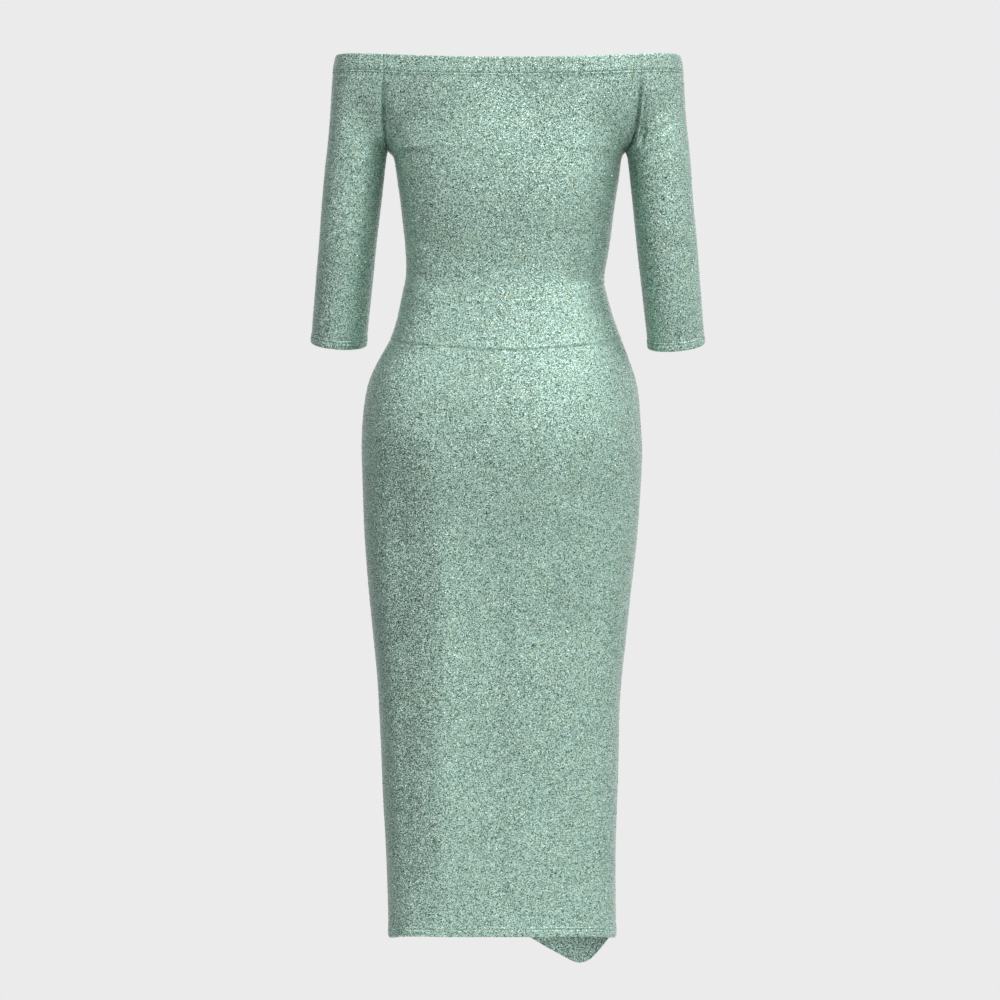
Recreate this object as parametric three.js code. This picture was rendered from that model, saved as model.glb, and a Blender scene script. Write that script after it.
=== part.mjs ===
// Off-shoulder midi dress with three-quarter sleeves, in glitter knit, filled out as when it is worn.
// Millimetres, +Z up. The origin is the middle of the neckline, where the shoulders hold the dress.
// +X is the wearer's right and +Y the wearer's front, so the back of the dress faces -Y.
import * as THREE from "three";

// Cloth, turnings and seams
const CLOTH = 1.1;
const TURNING = 1.1;
const TURNING_STEP = 0.8;
const SEAM_GAP = 0.3;
const CASING_HEIGHT = 22;
const CUFF_HEIGHT = 10;
const HEM_HEIGHT = 12;

// Heights of the seams and edges, each at the side of the body, and how far they dip in the middle
const ARMPIT_Z = -108;
const WAIST_TOP = { side: -274, back: 23, front: 14 };
const WAIST_BOTTOM = { side: -343.5, back: 16.5, front: 10 };
const HEM_Z = -1081;
const SEAM_ROUNDNESS = 1.2;

// The neckline, seen from above: an oval round the body and both arms, higher over the arms
const NECK = { centre: 5.3, half: 214.3, back: 92, front: 97, squareness: 2.4 };
const NECK_Z = 10.8;
const NECK_DIP = 10.4;
const NECK_DIP_ROUNDNESS = 3;
const ARMHOLE_TOP = { left: -149, right: 170 };
const ARMHOLE_REACH = 0.25;
const SHOULDER_PUFF = 4.3;

// The body, seen from above, at each height: its centre and half width, its depth behind and in
// front of the side seams, and how square its corners are (2 is an ellipse). Above the armpit it is
// the body under the bodice, which the cloth leaves as it goes out to the neckline.
const BODY = [
  { z: 11, centre: 3.2, half: 147.9, back: 93, front: 98, squareness: 2.5 },
  { z: -60, centre: 3.2, half: 147.9, back: 95.5, front: 104, squareness: 2.5 },
  { z: -108, centre: 3.2, half: 147.9, back: 97.5, front: 114, squareness: 2.5 },
  { z: -112, centre: 3.8, half: 144.5, back: 97.7, front: 115.5, squareness: 2.5 },
  { z: -117, centre: 4.3, half: 141.8, back: 98, front: 117.7, squareness: 2.5 },
  { z: -144, centre: 4.9, half: 138, back: 99, front: 127, squareness: 2.45 },
  { z: -169, centre: 4.9, half: 134.3, back: 98, front: 130, squareness: 2.4 },
  { z: -194, centre: 4.6, half: 131.2, back: 95, front: 124, squareness: 2.35 },
  { z: -219, centre: 4.4, half: 128.2, back: 91, front: 112, squareness: 2.3 },
  { z: -244, centre: 3.1, half: 125.1, back: 88, front: 99, squareness: 2.3 },
  { z: -263, centre: 1.3, half: 123.4, back: 86.5, front: 92, squareness: 2.3 },
  { z: -276, centre: 0.3, half: 124.7, back: 86.5, front: 89.5, squareness: 2.3 },
  { z: -294, centre: 0.6, half: 128.9, back: 88, front: 89, squareness: 2.3 },
  { z: -319, centre: 1.8, half: 135.6, back: 92, front: 91.5, squareness: 2.25 },
  { z: -344, centre: 2.2, half: 144.8, back: 98, front: 95, squareness: 2.2 },
  { z: -369, centre: -0.2, half: 156.5, back: 105, front: 98, squareness: 2.2 },
  { z: -394, centre: -1.9, half: 166.3, back: 111, front: 101, squareness: 2.2 },
  { z: -419, centre: -2.5, half: 171, back: 115.5, front: 103, squareness: 2.2 },
  { z: -450, centre: -2.9, half: 173.6, back: 119, front: 104, squareness: 2.2 },
  { z: -481, centre: -2.6, half: 174.8, back: 119, front: 104, squareness: 2.2 },
  { z: -519, centre: -2.8, half: 173.7, back: 114, front: 103, squareness: 2.25 },
  { z: -569, centre: -3.7, half: 171.2, back: 105, front: 101, squareness: 2.35 },
  { z: -619, centre: -4.4, half: 167.1, back: 98, front: 98, squareness: 2.5 },
  { z: -669, centre: -5.4, half: 162.2, back: 94, front: 95, squareness: 2.6 },
  { z: -719, centre: -5.8, half: 157.3, back: 91, front: 92.5, squareness: 2.75 },
  { z: -769, centre: -6.1, half: 152.5, back: 89.5, front: 90.5, squareness: 2.9 },
  { z: -819, centre: -5.7, half: 149.5, back: 88.5, front: 89, squareness: 3 },
  { z: -894, centre: -5, half: 146.3, back: 87, front: 87.5, squareness: 3.15 },
  { z: -981, centre: -4.1, half: 143.2, back: 85.5, front: 86, squareness: 3.35 },
  { z: -1081, centre: -2, half: 141.6, back: 84, front: 85, squareness: 3.6 },
];

// The sleeves at each height: distances of their inner and outer sides from the middle of the body,
// and their half depth from front to back
const SLEEVE = [
  { z: -108, leftIn: 145, leftOut: 221, rightIn: 151.4, rightOut: 231.6, depth: 46 },
  { z: -112, leftIn: 146.1, leftOut: 221.6, rightIn: 153.6, rightOut: 232, depth: 46 },
  { z: -119, leftIn: 147.1, leftOut: 222.5, rightIn: 155.5, rightOut: 232.6, depth: 45.5 },
  { z: -169, leftIn: 153, leftOut: 227.6, rightIn: 160.4, rightOut: 236.2, depth: 43.5 },
  { z: -219, leftIn: 159.3, leftOut: 231.5, rightIn: 165.8, rightOut: 241.2, depth: 41.5 },
  { z: -269, leftIn: 164.6, leftOut: 235.6, rightIn: 171.9, rightOut: 245.4, depth: 40 },
  { z: -319, leftIn: 170.4, leftOut: 239.4, rightIn: 177.9, rightOut: 249.3, depth: 38.5 },
  { z: -347, leftIn: 173.4, leftOut: 241.8, rightIn: 181, rightOut: 251.8, depth: 38 },
];
const CUFF = {
  left: { z: -346.8, tilt: THREE.MathUtils.degToRad(4) },
  right: { z: -349, tilt: THREE.MathUtils.degToRad(5.5) },
};
const CUFF_FORWARD = 30;
const CUFF_LEAN = THREE.MathUtils.degToRad(14);

// Long soft folds of the skirt: where each lies across the panel, how far down it runs, its half
// width, and how far it stands out (or, below zero, falls in)
const FOLDS = [
  { face: "back", x: -10, top: -560, bottom: -1100, width: 17, height: -4 },
  { face: "back", x: -68, top: -560, bottom: -1100, width: 24, height: 2.5 },
  { face: "back", x: 46, top: -790, bottom: -1100, width: 13, height: -2.5 },
  { face: "back", x: 100, top: -900, bottom: -1060, width: 13, height: -1.8 },
  { face: "front", x: 12, top: -600, bottom: -1110, width: 18, height: -3.5 },
  { face: "front", x: -62, top: -700, bottom: -1110, width: 16, height: -2.5 },
  { face: "front", x: 72, top: -560, bottom: -1110, width: 24, height: 2.5 },
];
const FOLD_FADE = 90;

// The right side seam ends in a slit, and below it the front's free corner hangs under the hem.
// The table gives the front's lower edge across the panel, the slit's edge a line away from the seam.
const FRONT_EDGE = [
  { x: 150, z: -1060 },
  { x: 142, z: -1073 },
  { x: 132, z: -1093 },
  { x: 118, z: -1113 },
  { x: 107, z: -1126 },
  { x: 95, z: -1131 },
  { x: 82, z: -1127 },
  { x: 58, z: -1114 },
  { x: 33, z: -1099.5 },
  { x: 5, z: -1086 },
  { x: -25, z: -1081 },
  { x: -60, z: -1081 },
];
const SLIT_TOP_Z = -880;
const SLIT_ANGLE = 0.09;
const CORNER_SWING = 9;
const CORNER_SWING_TOP = -985;
const CORNER_SWING_ANGLE = 1.15;

// How finely each wall is divided
const PANEL_COLUMNS = 24;
const FRONT_SKIRT_COLUMNS = 32;
const SLEEVE_COLUMNS = 20;
const ARMHOLE_STEPS = [70, 60, 50, 40, 30, 20, 10];
const BODICE_STEPS = [0, 0.02, 0.05, 0.09, 0.2, 0.34, 0.48, 0.62, 0.76, 0.89, 1];
const WAIST_STEPS = [0, 0.33, 0.67, 1];
const SKIRT_ROWS = 15;
const SLEEVE_STEPS = [0, 0.016, 0.045, 0.14, 0.29, 0.44, 0.59, 0.74, 0.87];
const EVENNESS = 0.115;
const DIFFERENCE = 1e-4;

// Colours of the knit, lighter and darker by panel
const COLOURS = { bodice: "#9dbcb0", waist: "#97b7ab", skirt: "#93b3a6", sleeve: "#8faea2" };

const { lerp, clamp, smoothstep } = THREE.MathUtils;

// A smooth curve through a table's rows, which run from the highest key to the lowest. Each piece is
// a cubic whose slope at a row is that of the line through the rows on either side of it.
function valueAt(table, key, name, place) {
  const last = table.length - 1;
  const below = table.findIndex((row) => row[key] < place);
  const i = below < 0 ? last - 1 : Math.max(below - 1, 0);
  const slope = (j) => {
    const a = table[Math.max(j - 1, 0)];
    const b = table[Math.min(j + 1, last)];
    return (b[name] - a[name]) / (b[key] - a[key]);
  };
  const run = table[i + 1][key] - table[i][key];
  const t = clamp((place - table[i][key]) / run, 0, 1);
  const start = (2 * t ** 3 - 3 * t ** 2 + 1) * table[i][name] + (t ** 3 - 2 * t ** 2 + t) * run * slope(i);
  const end = (3 * t ** 2 - 2 * t ** 3) * table[i + 1][name] + (t ** 3 - t ** 2) * run * slope(i + 1);
  return start + end;
}

// Distance from the centre of a squared oval to its edge, in the direction of an angle
function ovalRadius(angle, half, depth, squareness) {
  const across = Math.abs(Math.cos(angle) / half) ** squareness;
  const deep = Math.abs(Math.sin(angle) / depth) ** squareness;
  return (across + deep) ** (-1 / squareness);
}

// The two faces of the dress. Angles run anticlockwise seen from above, from +X.
const FACES = {
  back: { start: Math.PI, sign: -1 },
  front: { start: 0, sign: 1 },
};

// Angle of a share of the way across a face, with the columns spread evenly along the cloth
function faceAngle(face, share) {
  return FACES[face].start + Math.PI * share - EVENNESS * Math.sin(2 * Math.PI * share);
}

// How far the folds of a face stand out at a place on it
function foldHeight(face, x, z) {
  return FOLDS.filter((fold) => fold.face === face).reduce((sum, fold) => {
    const begin = smoothstep(fold.top - z, 0, FOLD_FADE);
    const end = smoothstep(z - fold.bottom, 0, FOLD_FADE);
    const bell = Math.exp(-(((x - fold.x) / fold.width) ** 2));
    return sum + fold.height * bell * begin * end;
  }, 0);
}

// A point on the outside of the body. The two faces stand half a seam gap either side of y = 0.
function bodyPoint(face, angle, z) {
  const { sign } = FACES[face];
  const depthName = Math.sin(angle) < 0 ? "back" : "front";
  const radius = ovalRadius(
    angle,
    valueAt(BODY, "z", "half", z),
    valueAt(BODY, "z", depthName, z),
    valueAt(BODY, "z", "squareness", z),
  );
  const x = valueAt(BODY, "z", "centre", z) + radius * Math.cos(angle);
  const y = radius * Math.sin(angle) + (sign * SEAM_GAP) / 2;
  return new THREE.Vector3(x, y + sign * foldHeight(face, x, z), z);
}

// A point of the neckline at a distance across the body, and its height, which dips front and back
function neckPoint(face, x) {
  const { sign } = FACES[face];
  const outward = Math.abs(x - NECK.centre) / NECK.half;
  const share = (1 - Math.min(outward, 1) ** NECK.squareness) ** (1 / NECK.squareness);
  return new THREE.Vector3(x, sign * NECK[face] * share, neckHeight(share));
}

function neckHeight(share) {
  return NECK_Z - NECK_DIP * Math.abs(share) ** NECK_DIP_ROUNDNESS;
}

// Height of a waist seam at an angle round the body
function seamHeight(seam, face, angle) {
  return seam.side - seam[face] * Math.abs(Math.sin(angle)) ** SEAM_ROUNDNESS;
}

// Above the armpit a wall is drawn from its line at the armpit to its line at the neck. Its edges
// follow the armhole, a quarter of an oval that leaves the armpit level and reaches the neck
// upright. Its middle rises evenly low down and goes with the edges near the neck, and the armhole
// draws in more of the cloth beside it the higher it is.
function risen(low, high, rise, share) {
  const armhole = Math.sqrt(1 - (1 - rise) ** 2);
  const fromEdge = Math.min(share, 1 - share);
  const drawn = rise > 0 ? Math.exp(-((fromEdge / (ARMHOLE_REACH * armhole)) ** 2)) : 0;
  const blend = lerp(rise, armhole, lerp(drawn, 1, smoothstep(rise, 0, 1)));
  return new THREE.Vector3(lerp(low.x, high.x, blend), lerp(low.y, high.y, blend), risenZ(high, rise));
}

function risenZ(high, rise) {
  return lerp(ARMPIT_Z, high.z, rise);
}

// A bodice panel. Below zero, down is the share of the way up to the neck; above it, the share of
// the way down to the waist seam.
function bodicePoint(face, share, down) {
  if (down >= 0) {
    const angle = faceAngle(face, share);
    const foot = seamHeight(WAIST_TOP, face, angle) + SEAM_GAP / 2;
    return bodyPoint(face, angle, lerp(ARMPIT_Z, foot, down));
  }
  const across = clamp(share, 0, 1);
  const rise = Math.min(-down, 1);
  const [from, to] = face === "back" ? ["left", "right"] : ["right", "left"];
  const high = neckPoint(face, lerp(ARMHOLE_TOP[from], ARMHOLE_TOP[to], across));
  const low = bodyPoint(face, faceAngle(face, across), risenZ(high, rise));
  return risen(low, high, rise, across);
}

function waistPoint(face, share, down) {
  const angle = faceAngle(face, share);
  const head = seamHeight(WAIST_TOP, face, angle) - SEAM_GAP / 2;
  const foot = seamHeight(WAIST_BOTTOM, face, angle) + SEAM_GAP / 2;
  return bodyPoint(face, angle, lerp(head, foot, down));
}

function backSkirtPoint(share, down) {
  const angle = faceAngle("back", share);
  const head = seamHeight(WAIST_BOTTOM, "back", angle) - SEAM_GAP / 2;
  return bodyPoint("back", angle, lerp(head, HEM_Z, down));
}

// The front skirt. Its edge at the slit leaves the side seam as it falls, its lower edge follows
// the table, and its free corner swings inwards.
function frontSkirtPoint(share, down) {
  const straight = faceAngle("front", share);
  const head = seamHeight(WAIST_BOTTOM, "front", straight) - SEAM_GAP / 2;
  const edgeAngle = lerp(SLIT_ANGLE, Math.PI, straight / Math.PI);
  const edgeX = bodyPoint("front", edgeAngle, HEM_Z).x;
  const z = lerp(head, valueAt(FRONT_EDGE, "x", "z", edgeX), down);
  const opened = smoothstep(SLIT_TOP_Z - z, 0, SLIT_TOP_Z - HEM_Z) * SLIT_ANGLE;
  const angle = lerp(opened, Math.PI, straight / Math.PI);
  const point = bodyPoint("front", angle, z);
  const low = smoothstep(CORNER_SWING_TOP - z, 0, CORNER_SWING_TOP - HEM_Z);
  const near = 1 - smoothstep(angle, 0, CORNER_SWING_ANGLE);
  const swing = CORNER_SWING * low * near;
  return point.sub(new THREE.Vector3(swing * Math.cos(angle), swing * Math.sin(angle), 0));
}

// A sleeve. From the armpit down it is a ring that starts at its seam, which faces the body; the
// rings lean until the cuff is square to the arm. Above the armpit its edges follow the armhole.
function sleevePoint(side, share, down) {
  const sign = side === "left" ? -1 : 1;
  const turn = side === "left" ? 0 : Math.PI;
  if (down >= 0) {
    const angle = turn + 2 * Math.PI * share;
    const z = lerp(ARMPIT_Z, CUFF[side].z, down);
    const inner = valueAt(SLEEVE, "z", `${side}In`, z);
    const outer = valueAt(SLEEVE, "z", `${side}Out`, z);
    const across = ((outer - inner) / 2) * Math.cos(angle);
    const deep = valueAt(SLEEVE, "z", "depth", z) * Math.sin(angle);
    const lean = CUFF_LEAN * down;
    const tilt = CUFF[side].tilt * down;
    return new THREE.Vector3(
      (sign * (inner + outer)) / 2 + across * Math.cos(tilt),
      CUFF_FORWARD * down ** 2 + deep * Math.cos(lean),
      z + sign * across * Math.sin(tilt) + deep * Math.sin(lean),
    );
  }
  const across = clamp(share, 0, 1);
  const [from, to] = side === "left" ? ["front", "back"] : ["back", "front"];
  const start = neckPoint(from, ARMHOLE_TOP[side]);
  const end = neckPoint(to, ARMHOLE_TOP[side]);
  const middle = side === "left" ? Math.PI : 0;
  const startAngle = Math.atan2(start.y, sign * (start.x - NECK.centre)) * sign;
  const endAngle = Math.atan2(end.y, sign * (end.x - NECK.centre)) * sign;
  const angle = middle + lerp(startAngle, endAngle, across);
  const depth = Math.sin(angle) < 0 ? NECK.back : NECK.front;
  const radius = ovalRadius(angle, NECK.half, depth, NECK.squareness);
  const high = new THREE.Vector3(
    NECK.centre + sign * SEAM_GAP + radius * Math.cos(angle),
    radius * Math.sin(angle),
    neckHeight((radius * Math.sin(angle)) / depth),
  );
  const rise = Math.min(-down, 1);
  const puff = SHOULDER_PUFF * Math.sin(Math.PI * rise ** 2) * Math.sin(Math.PI * across);
  const point = risen(sleevePoint(side, across, 0), high, rise, across);
  return point.add(new THREE.Vector3(sign * puff, 0, 0));
}

// Direction that points out of a wall. At the armpit the wall turns sharply above, so there it is
// taken from the cloth below.
function outwardAt(surface, share, down) {
  const above = down === 0 ? 0 : down - DIFFERENCE;
  const right = surface(share + DIFFERENCE, down).sub(surface(share - DIFFERENCE, down));
  const fall = surface(share, down + DIFFERENCE).sub(surface(share, above));
  return fall.cross(right).normalize();
}

// A closed wall of cloth over a surface. Rows run downwards and columns to the right, seen from
// outside. A row has its place down the piece and how far its turning stands out. Rows from
// ringsFrom on are closed rings, whose last column is their first.
function clothWall(name, colour, surface, columns, rows, ringsFrom = Infinity) {
  const width = columns + 1;
  const outer = [];
  const inner = [];
  for (const { down, raised } of rows) {
    for (let c = 0; c < width; c += 1) {
      const share = c / columns;
      const point = surface(share, down);
      const outward = outwardAt(surface, share, down);
      outer.push(point.clone().addScaledVector(outward, raised));
      inner.push(point.clone().addScaledVector(outward, -CLOTH));
    }
  }
  const index = [];
  const quad = (a, b, c, d) => index.push(a, b, c, a, c, d);
  const inside = (i) => i + outer.length;
  const lastRow = rows.length - 1;
  for (let r = 0; r < lastRow; r += 1) {
    for (let c = 0; c < columns; c += 1) {
      const a = r * width + c;
      const d = a + width;
      quad(a, d, d + 1, a + 1);
      quad(inside(a), inside(a + 1), inside(d + 1), inside(d));
    }
    if (r < ringsFrom) {
      const left = r * width;
      const right = left + columns;
      quad(left + width, left, inside(left), inside(left + width));
      quad(right, right + width, inside(right + width), inside(right));
    }
  }
  for (let c = 0; c < columns; c += 1) {
    const foot = lastRow * width + c;
    quad(c, c + 1, inside(c + 1), inside(c));
    quad(foot + 1, foot, inside(foot), inside(foot + 1));
  }
  const geometry = new THREE.BufferGeometry().setFromPoints([...outer, ...inner]);
  geometry.setIndex(index);
  geometry.computeVertexNormals();
  const material = new THREE.MeshStandardMaterial({ color: colour, roughness: 0.6, metalness: 0.1 });
  const mesh = new THREE.Mesh(geometry, material);
  mesh.name = name;
  return mesh;
}

// Rows above the armpit, from the neck down. The casing is turned over and stands proud.
function armholeRows() {
  const height = NECK_Z - ARMPIT_Z;
  const casing = 1 - CASING_HEIGHT / height;
  const below = casing - TURNING_STEP / height;
  const steps = ARMHOLE_STEPS.map((degrees) => 1 - Math.cos(THREE.MathUtils.degToRad(degrees)));
  return [
    { down: -1, raised: TURNING },
    { down: -casing, raised: TURNING },
    ...[below, ...steps].map((rise) => ({ down: -rise, raised: 0 })),
  ];
}

// Rows that end in a turning of a given height at the lower edge of a piece of a given length
function turnedRows(steps, height, length) {
  const turned = 1 - height / length;
  return [
    ...steps.map((down) => ({ down, raised: 0 })),
    { down: turned - TURNING_STEP / length, raised: 0 },
    { down: turned, raised: TURNING },
    { down: 1, raised: TURNING },
  ];
}

const plainRows = (steps) => steps.map((down) => ({ down, raised: 0 }));
const bodiceRows = [...armholeRows(), ...plainRows(BODICE_STEPS)];
const skirtSteps = Array.from({ length: SKIRT_ROWS }, (_, row) => row / SKIRT_ROWS);
const skirtRows = turnedRows(skirtSteps, HEM_HEIGHT, WAIST_BOTTOM.side - HEM_Z);
const waistRows = plainRows(WAIST_STEPS);

const dress = new THREE.Group();
for (const face of ["back", "front"]) {
  const bodice = (share, down) => bodicePoint(face, share, down);
  const waist = (share, down) => waistPoint(face, share, down);
  dress.add(clothWall(`${face}_bodice`, COLOURS.bodice, bodice, PANEL_COLUMNS, bodiceRows));
  dress.add(clothWall(`${face}_waist_panel`, COLOURS.waist, waist, PANEL_COLUMNS, waistRows));
}
for (const side of ["left", "right"]) {
  const sleeve = (share, down) => sleevePoint(side, share, down);
  const ringsFrom = armholeRows().length;
  const cuffRows = turnedRows(SLEEVE_STEPS, CUFF_HEIGHT, ARMPIT_Z - CUFF[side].z);
  const sleeveRows = [...armholeRows(), ...cuffRows];
  dress.add(clothWall(`sleeve_${side}`, COLOURS.sleeve, sleeve, SLEEVE_COLUMNS, sleeveRows, ringsFrom));
}
dress.add(clothWall("back_skirt", COLOURS.skirt, backSkirtPoint, PANEL_COLUMNS, skirtRows));
dress.add(clothWall("front_skirt", COLOURS.skirt, frontSkirtPoint, FRONT_SKIRT_COLUMNS, skirtRows));

export default dress;
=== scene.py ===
"""Looks of an off-shoulder midi dress in glitter knit, filled out as when it is worn.

The dress is eight panels. Each is a surface, a function of a share across the panel and a share down
it, in millimetres, by the formulas and sizes of the solid that it stands for. Every panel gets a fine
closed wall with its seams, turnings and creases, sequins over its outside, and the stitches of its
turned edges. +X is the wearer's right and +Y the wearer's front, so the back faces -Y.
"""
import logging
import math
from dataclasses import dataclass, field
from enum import Enum
from functools import partial
from typing import Callable

import bmesh
import bpy
import numpy as np
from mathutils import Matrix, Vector


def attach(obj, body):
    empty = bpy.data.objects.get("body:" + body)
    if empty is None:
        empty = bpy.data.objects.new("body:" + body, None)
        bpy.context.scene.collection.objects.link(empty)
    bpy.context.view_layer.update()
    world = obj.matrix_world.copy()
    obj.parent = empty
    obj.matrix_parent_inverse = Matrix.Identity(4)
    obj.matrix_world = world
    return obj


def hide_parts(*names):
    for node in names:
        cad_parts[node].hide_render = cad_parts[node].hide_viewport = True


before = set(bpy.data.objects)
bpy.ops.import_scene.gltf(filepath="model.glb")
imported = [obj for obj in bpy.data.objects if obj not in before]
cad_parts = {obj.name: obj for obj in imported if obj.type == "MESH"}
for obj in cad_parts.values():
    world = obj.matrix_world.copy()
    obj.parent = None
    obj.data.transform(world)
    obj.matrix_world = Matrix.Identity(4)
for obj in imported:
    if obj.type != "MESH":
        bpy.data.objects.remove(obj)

Array = np.ndarray
Surface = Callable[[Array, Array], Array]
Line = tuple[Array, Array]
Pair = tuple[float, float]
Way = tuple[float, float, float]

LOG = logging.getLogger("dress")
MM = 0.001
KNIT_MAP, BAKE_MAP = "knit_map", "OFBake"
SEED = 20261130


def smoothstep(place: Array, low: float, high: float) -> Array:
    """Rises smoothly from 0 at low to 1 at high: 3 t squared less 2 t cubed."""
    t = np.clip((place - low) / (high - low), 0, 1)
    return t * t * (3 - 2 * t)


def lerp(start: Array, end: Array, share: Array) -> Array:
    """The value that lies a share of the way from start to end."""
    return start + (end - start) * share


def bell(place: Array, width: Array) -> Array:
    """A bell curve, e to the power of minus (place over width) squared."""
    return np.exp(-((place / width) ** 2))


def unit(vectors: Array) -> Array:
    """The same directions with length 1."""
    return vectors / np.maximum(np.linalg.norm(vectors, axis=-1, keepdims=True), 1e-12)


def cell(lines: Array, place: Array) -> tuple[Array, Array]:
    """Number of the step between lines that holds each place, and how much of it lies before."""
    i = np.clip(np.searchsorted(lines, place, side="right") - 1, 0, len(lines) - 2)
    return i, (place - lines[i]) / (lines[i + 1] - lines[i])


@dataclass(frozen=True)
class Table:
    """Sizes in millimetres, a row for each place. The first column is the key, highest first."""

    columns: tuple[str, ...]
    rows: tuple[tuple[float, ...], ...]

    def at(self, column: str, place: Array) -> Array:
        """Value of a column at each place, on a smooth curve through the rows.

        Each two rows are joined by a cubic whose slope at a row is that of the line through the rows
        on either side of it.

        Args:
            column: name of the column that is wanted.
            place: keys at which it is wanted.

        Returns:
            The column's value at each place.
        """
        sizes = np.array(self.rows, float)
        keys, values = sizes[:, 0], sizes[:, self.columns.index(column)]
        before = np.maximum(np.arange(len(keys)) - 1, 0)
        after = np.minimum(np.arange(len(keys)) + 1, len(keys) - 1)
        slopes = (values[after] - values[before]) / (keys[after] - keys[before])
        i = np.clip(np.searchsorted(-keys, -np.asarray(place, float), side="right") - 1, 0, len(keys) - 2)
        run = keys[i + 1] - keys[i]
        t = np.clip((place - keys[i]) / run, 0, 1)
        start = (2 * t**3 - 3 * t**2 + 1) * values[i] + (t**3 - 2 * t**2 + t) * run * slopes[i]
        end = (3 * t**2 - 2 * t**3) * values[i + 1] + (t**3 - t**2) * run * slopes[i + 1]
        return start + end


# The body, seen from above, at each height
BODY = Table(
    ("z", "centre", "half", "back", "front", "squareness"),
    (
        (11, 3.2, 147.9, 93, 98, 2.5),
        (-60, 3.2, 147.9, 95.5, 104, 2.5),
        (-108, 3.2, 147.9, 97.5, 114, 2.5),
        (-112, 3.8, 144.5, 97.7, 115.5, 2.5),
        (-117, 4.3, 141.8, 98, 117.7, 2.5),
        (-144, 4.9, 138, 99, 127, 2.45),
        (-169, 4.9, 134.3, 98, 130, 2.4),
        (-194, 4.6, 131.2, 95, 124, 2.35),
        (-219, 4.4, 128.2, 91, 112, 2.3),
        (-244, 3.1, 125.1, 88, 99, 2.3),
        (-263, 1.3, 123.4, 86.5, 92, 2.3),
        (-276, 0.3, 124.7, 86.5, 89.5, 2.3),
        (-294, 0.6, 128.9, 88, 89, 2.3),
        (-319, 1.8, 135.6, 92, 91.5, 2.25),
        (-344, 2.2, 144.8, 98, 95, 2.2),
        (-369, -0.2, 156.5, 105, 98, 2.2),
        (-394, -1.9, 166.3, 111, 101, 2.2),
        (-419, -2.5, 171, 115.5, 103, 2.2),
        (-450, -2.9, 173.6, 119, 104, 2.2),
        (-481, -2.6, 174.8, 119, 104, 2.2),
        (-519, -2.8, 173.7, 114, 103, 2.25),
        (-569, -3.7, 171.2, 105, 101, 2.35),
        (-619, -4.4, 167.1, 98, 98, 2.5),
        (-669, -5.4, 162.2, 94, 95, 2.6),
        (-719, -5.8, 157.3, 91, 92.5, 2.75),
        (-769, -6.1, 152.5, 89.5, 90.5, 2.9),
        (-819, -5.7, 149.5, 88.5, 89, 3),
        (-894, -5, 146.3, 87, 87.5, 3.15),
        (-981, -4.1, 143.2, 85.5, 86, 3.35),
        (-1081, -2, 141.6, 84, 85, 3.6),
    ),
)

# The sleeves at each height: distances of their inner and outer sides from the middle of the body,
# and their half depth from front to back
SLEEVE = Table(
    ("z", "left_in", "left_out", "right_in", "right_out", "depth"),
    (
        (-108, 145, 221, 151.4, 231.6, 46),
        (-112, 146.1, 221.6, 153.6, 232, 46),
        (-119, 147.1, 222.5, 155.5, 232.6, 45.5),
        (-169, 153, 227.6, 160.4, 236.2, 43.5),
        (-219, 159.3, 231.5, 165.8, 241.2, 41.5),
        (-269, 164.6, 235.6, 171.9, 245.4, 40),
        (-319, 170.4, 239.4, 177.9, 249.3, 38.5),
        (-347, 173.4, 241.8, 181, 251.8, 38),
    ),
)

# Long soft folds of the skirt, which the solids have too: face, x, top, bottom, width and height
FOLD_FADE = 90
FOLDS = (
    ("back", -10, -560, -1100, 17, -4),
    ("back", -68, -560, -1100, 24, 2.5),
    ("back", 46, -790, -1100, 13, -2.5),
    ("back", 100, -900, -1060, 13, -1.8),
    ("front", 12, -600, -1110, 18, -3.5),
    ("front", -62, -700, -1110, 16, -2.5),
    ("front", 72, -560, -1110, 24, 2.5),
)

# Lower edge of the front skirt across the panel, with its free corner on the wearer's right
FRONT_EDGE = Table(
    ("x", "z"),
    (
        (146, -1070),
        (139.6, -1084.5),
        (136, -1090),
        (126, -1106),
        (117.5, -1117.5),
        (109, -1126.5),
        (95.5, -1131),
        (82, -1127),
        (58, -1114),
        (33, -1099.5),
        (5, -1086),
        (-25, -1081),
        (-60, -1081),
    ),
)


class Face(Enum):
    """The two faces: name, angle of the left edge seen from outside, and the way it faces along Y."""

    BACK = ("back", math.pi, -1)
    FRONT = ("front", 0.0, 1)

    def __init__(self, label: str, start: float, sign: int) -> None:
        """Names the parts of the value."""
        self.label, self.start, self.sign = label, start, sign


class Side(Enum):
    """The wearer's two arms: name, and the way each lies along X."""

    LEFT = ("left", -1)
    RIGHT = ("right", 1)

    def __init__(self, label: str, sign: int) -> None:
        """Names the parts of the value."""
        self.label, self.sign = label, sign


@dataclass(frozen=True)
class Seam:
    """Height of a waist seam at the side of the body, and how far it dips in the middle."""

    side: float
    back: float
    front: float
    roundness: float = 1.2

    def height(self, face: Face, angle: Array) -> Array:
        """Height of the seam: its side less its dip times the sine of the angle to a power."""
        dip = self.back if face is Face.BACK else self.front
        return self.side - dip * np.abs(np.sin(angle)) ** self.roundness


@dataclass(frozen=True)
class Cuff:
    """Height of a cuff's middle and how far it tilts across the arm, in radians."""

    z: float
    tilt: float


def oval_radius(angle: Array, half: Array, depth: Array, squareness: Array) -> Array:
    """Distance from the centre of a squared oval to its edge.

    It is the sum of |cos / half| and |sin / depth|, each to the power of the squareness, and that to
    the power of minus one over the squareness.

    Args:
        angle: direction from +X.
        half: half width of the oval.
        depth: half depth of the oval.
        squareness: 2 for an ellipse, more for squarer corners.

    Returns:
        The distance in each direction.
    """
    across = np.abs(np.cos(angle) / half) ** squareness
    deep = np.abs(np.sin(angle) / depth) ** squareness
    return (across + deep) ** (-1 / squareness)


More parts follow.
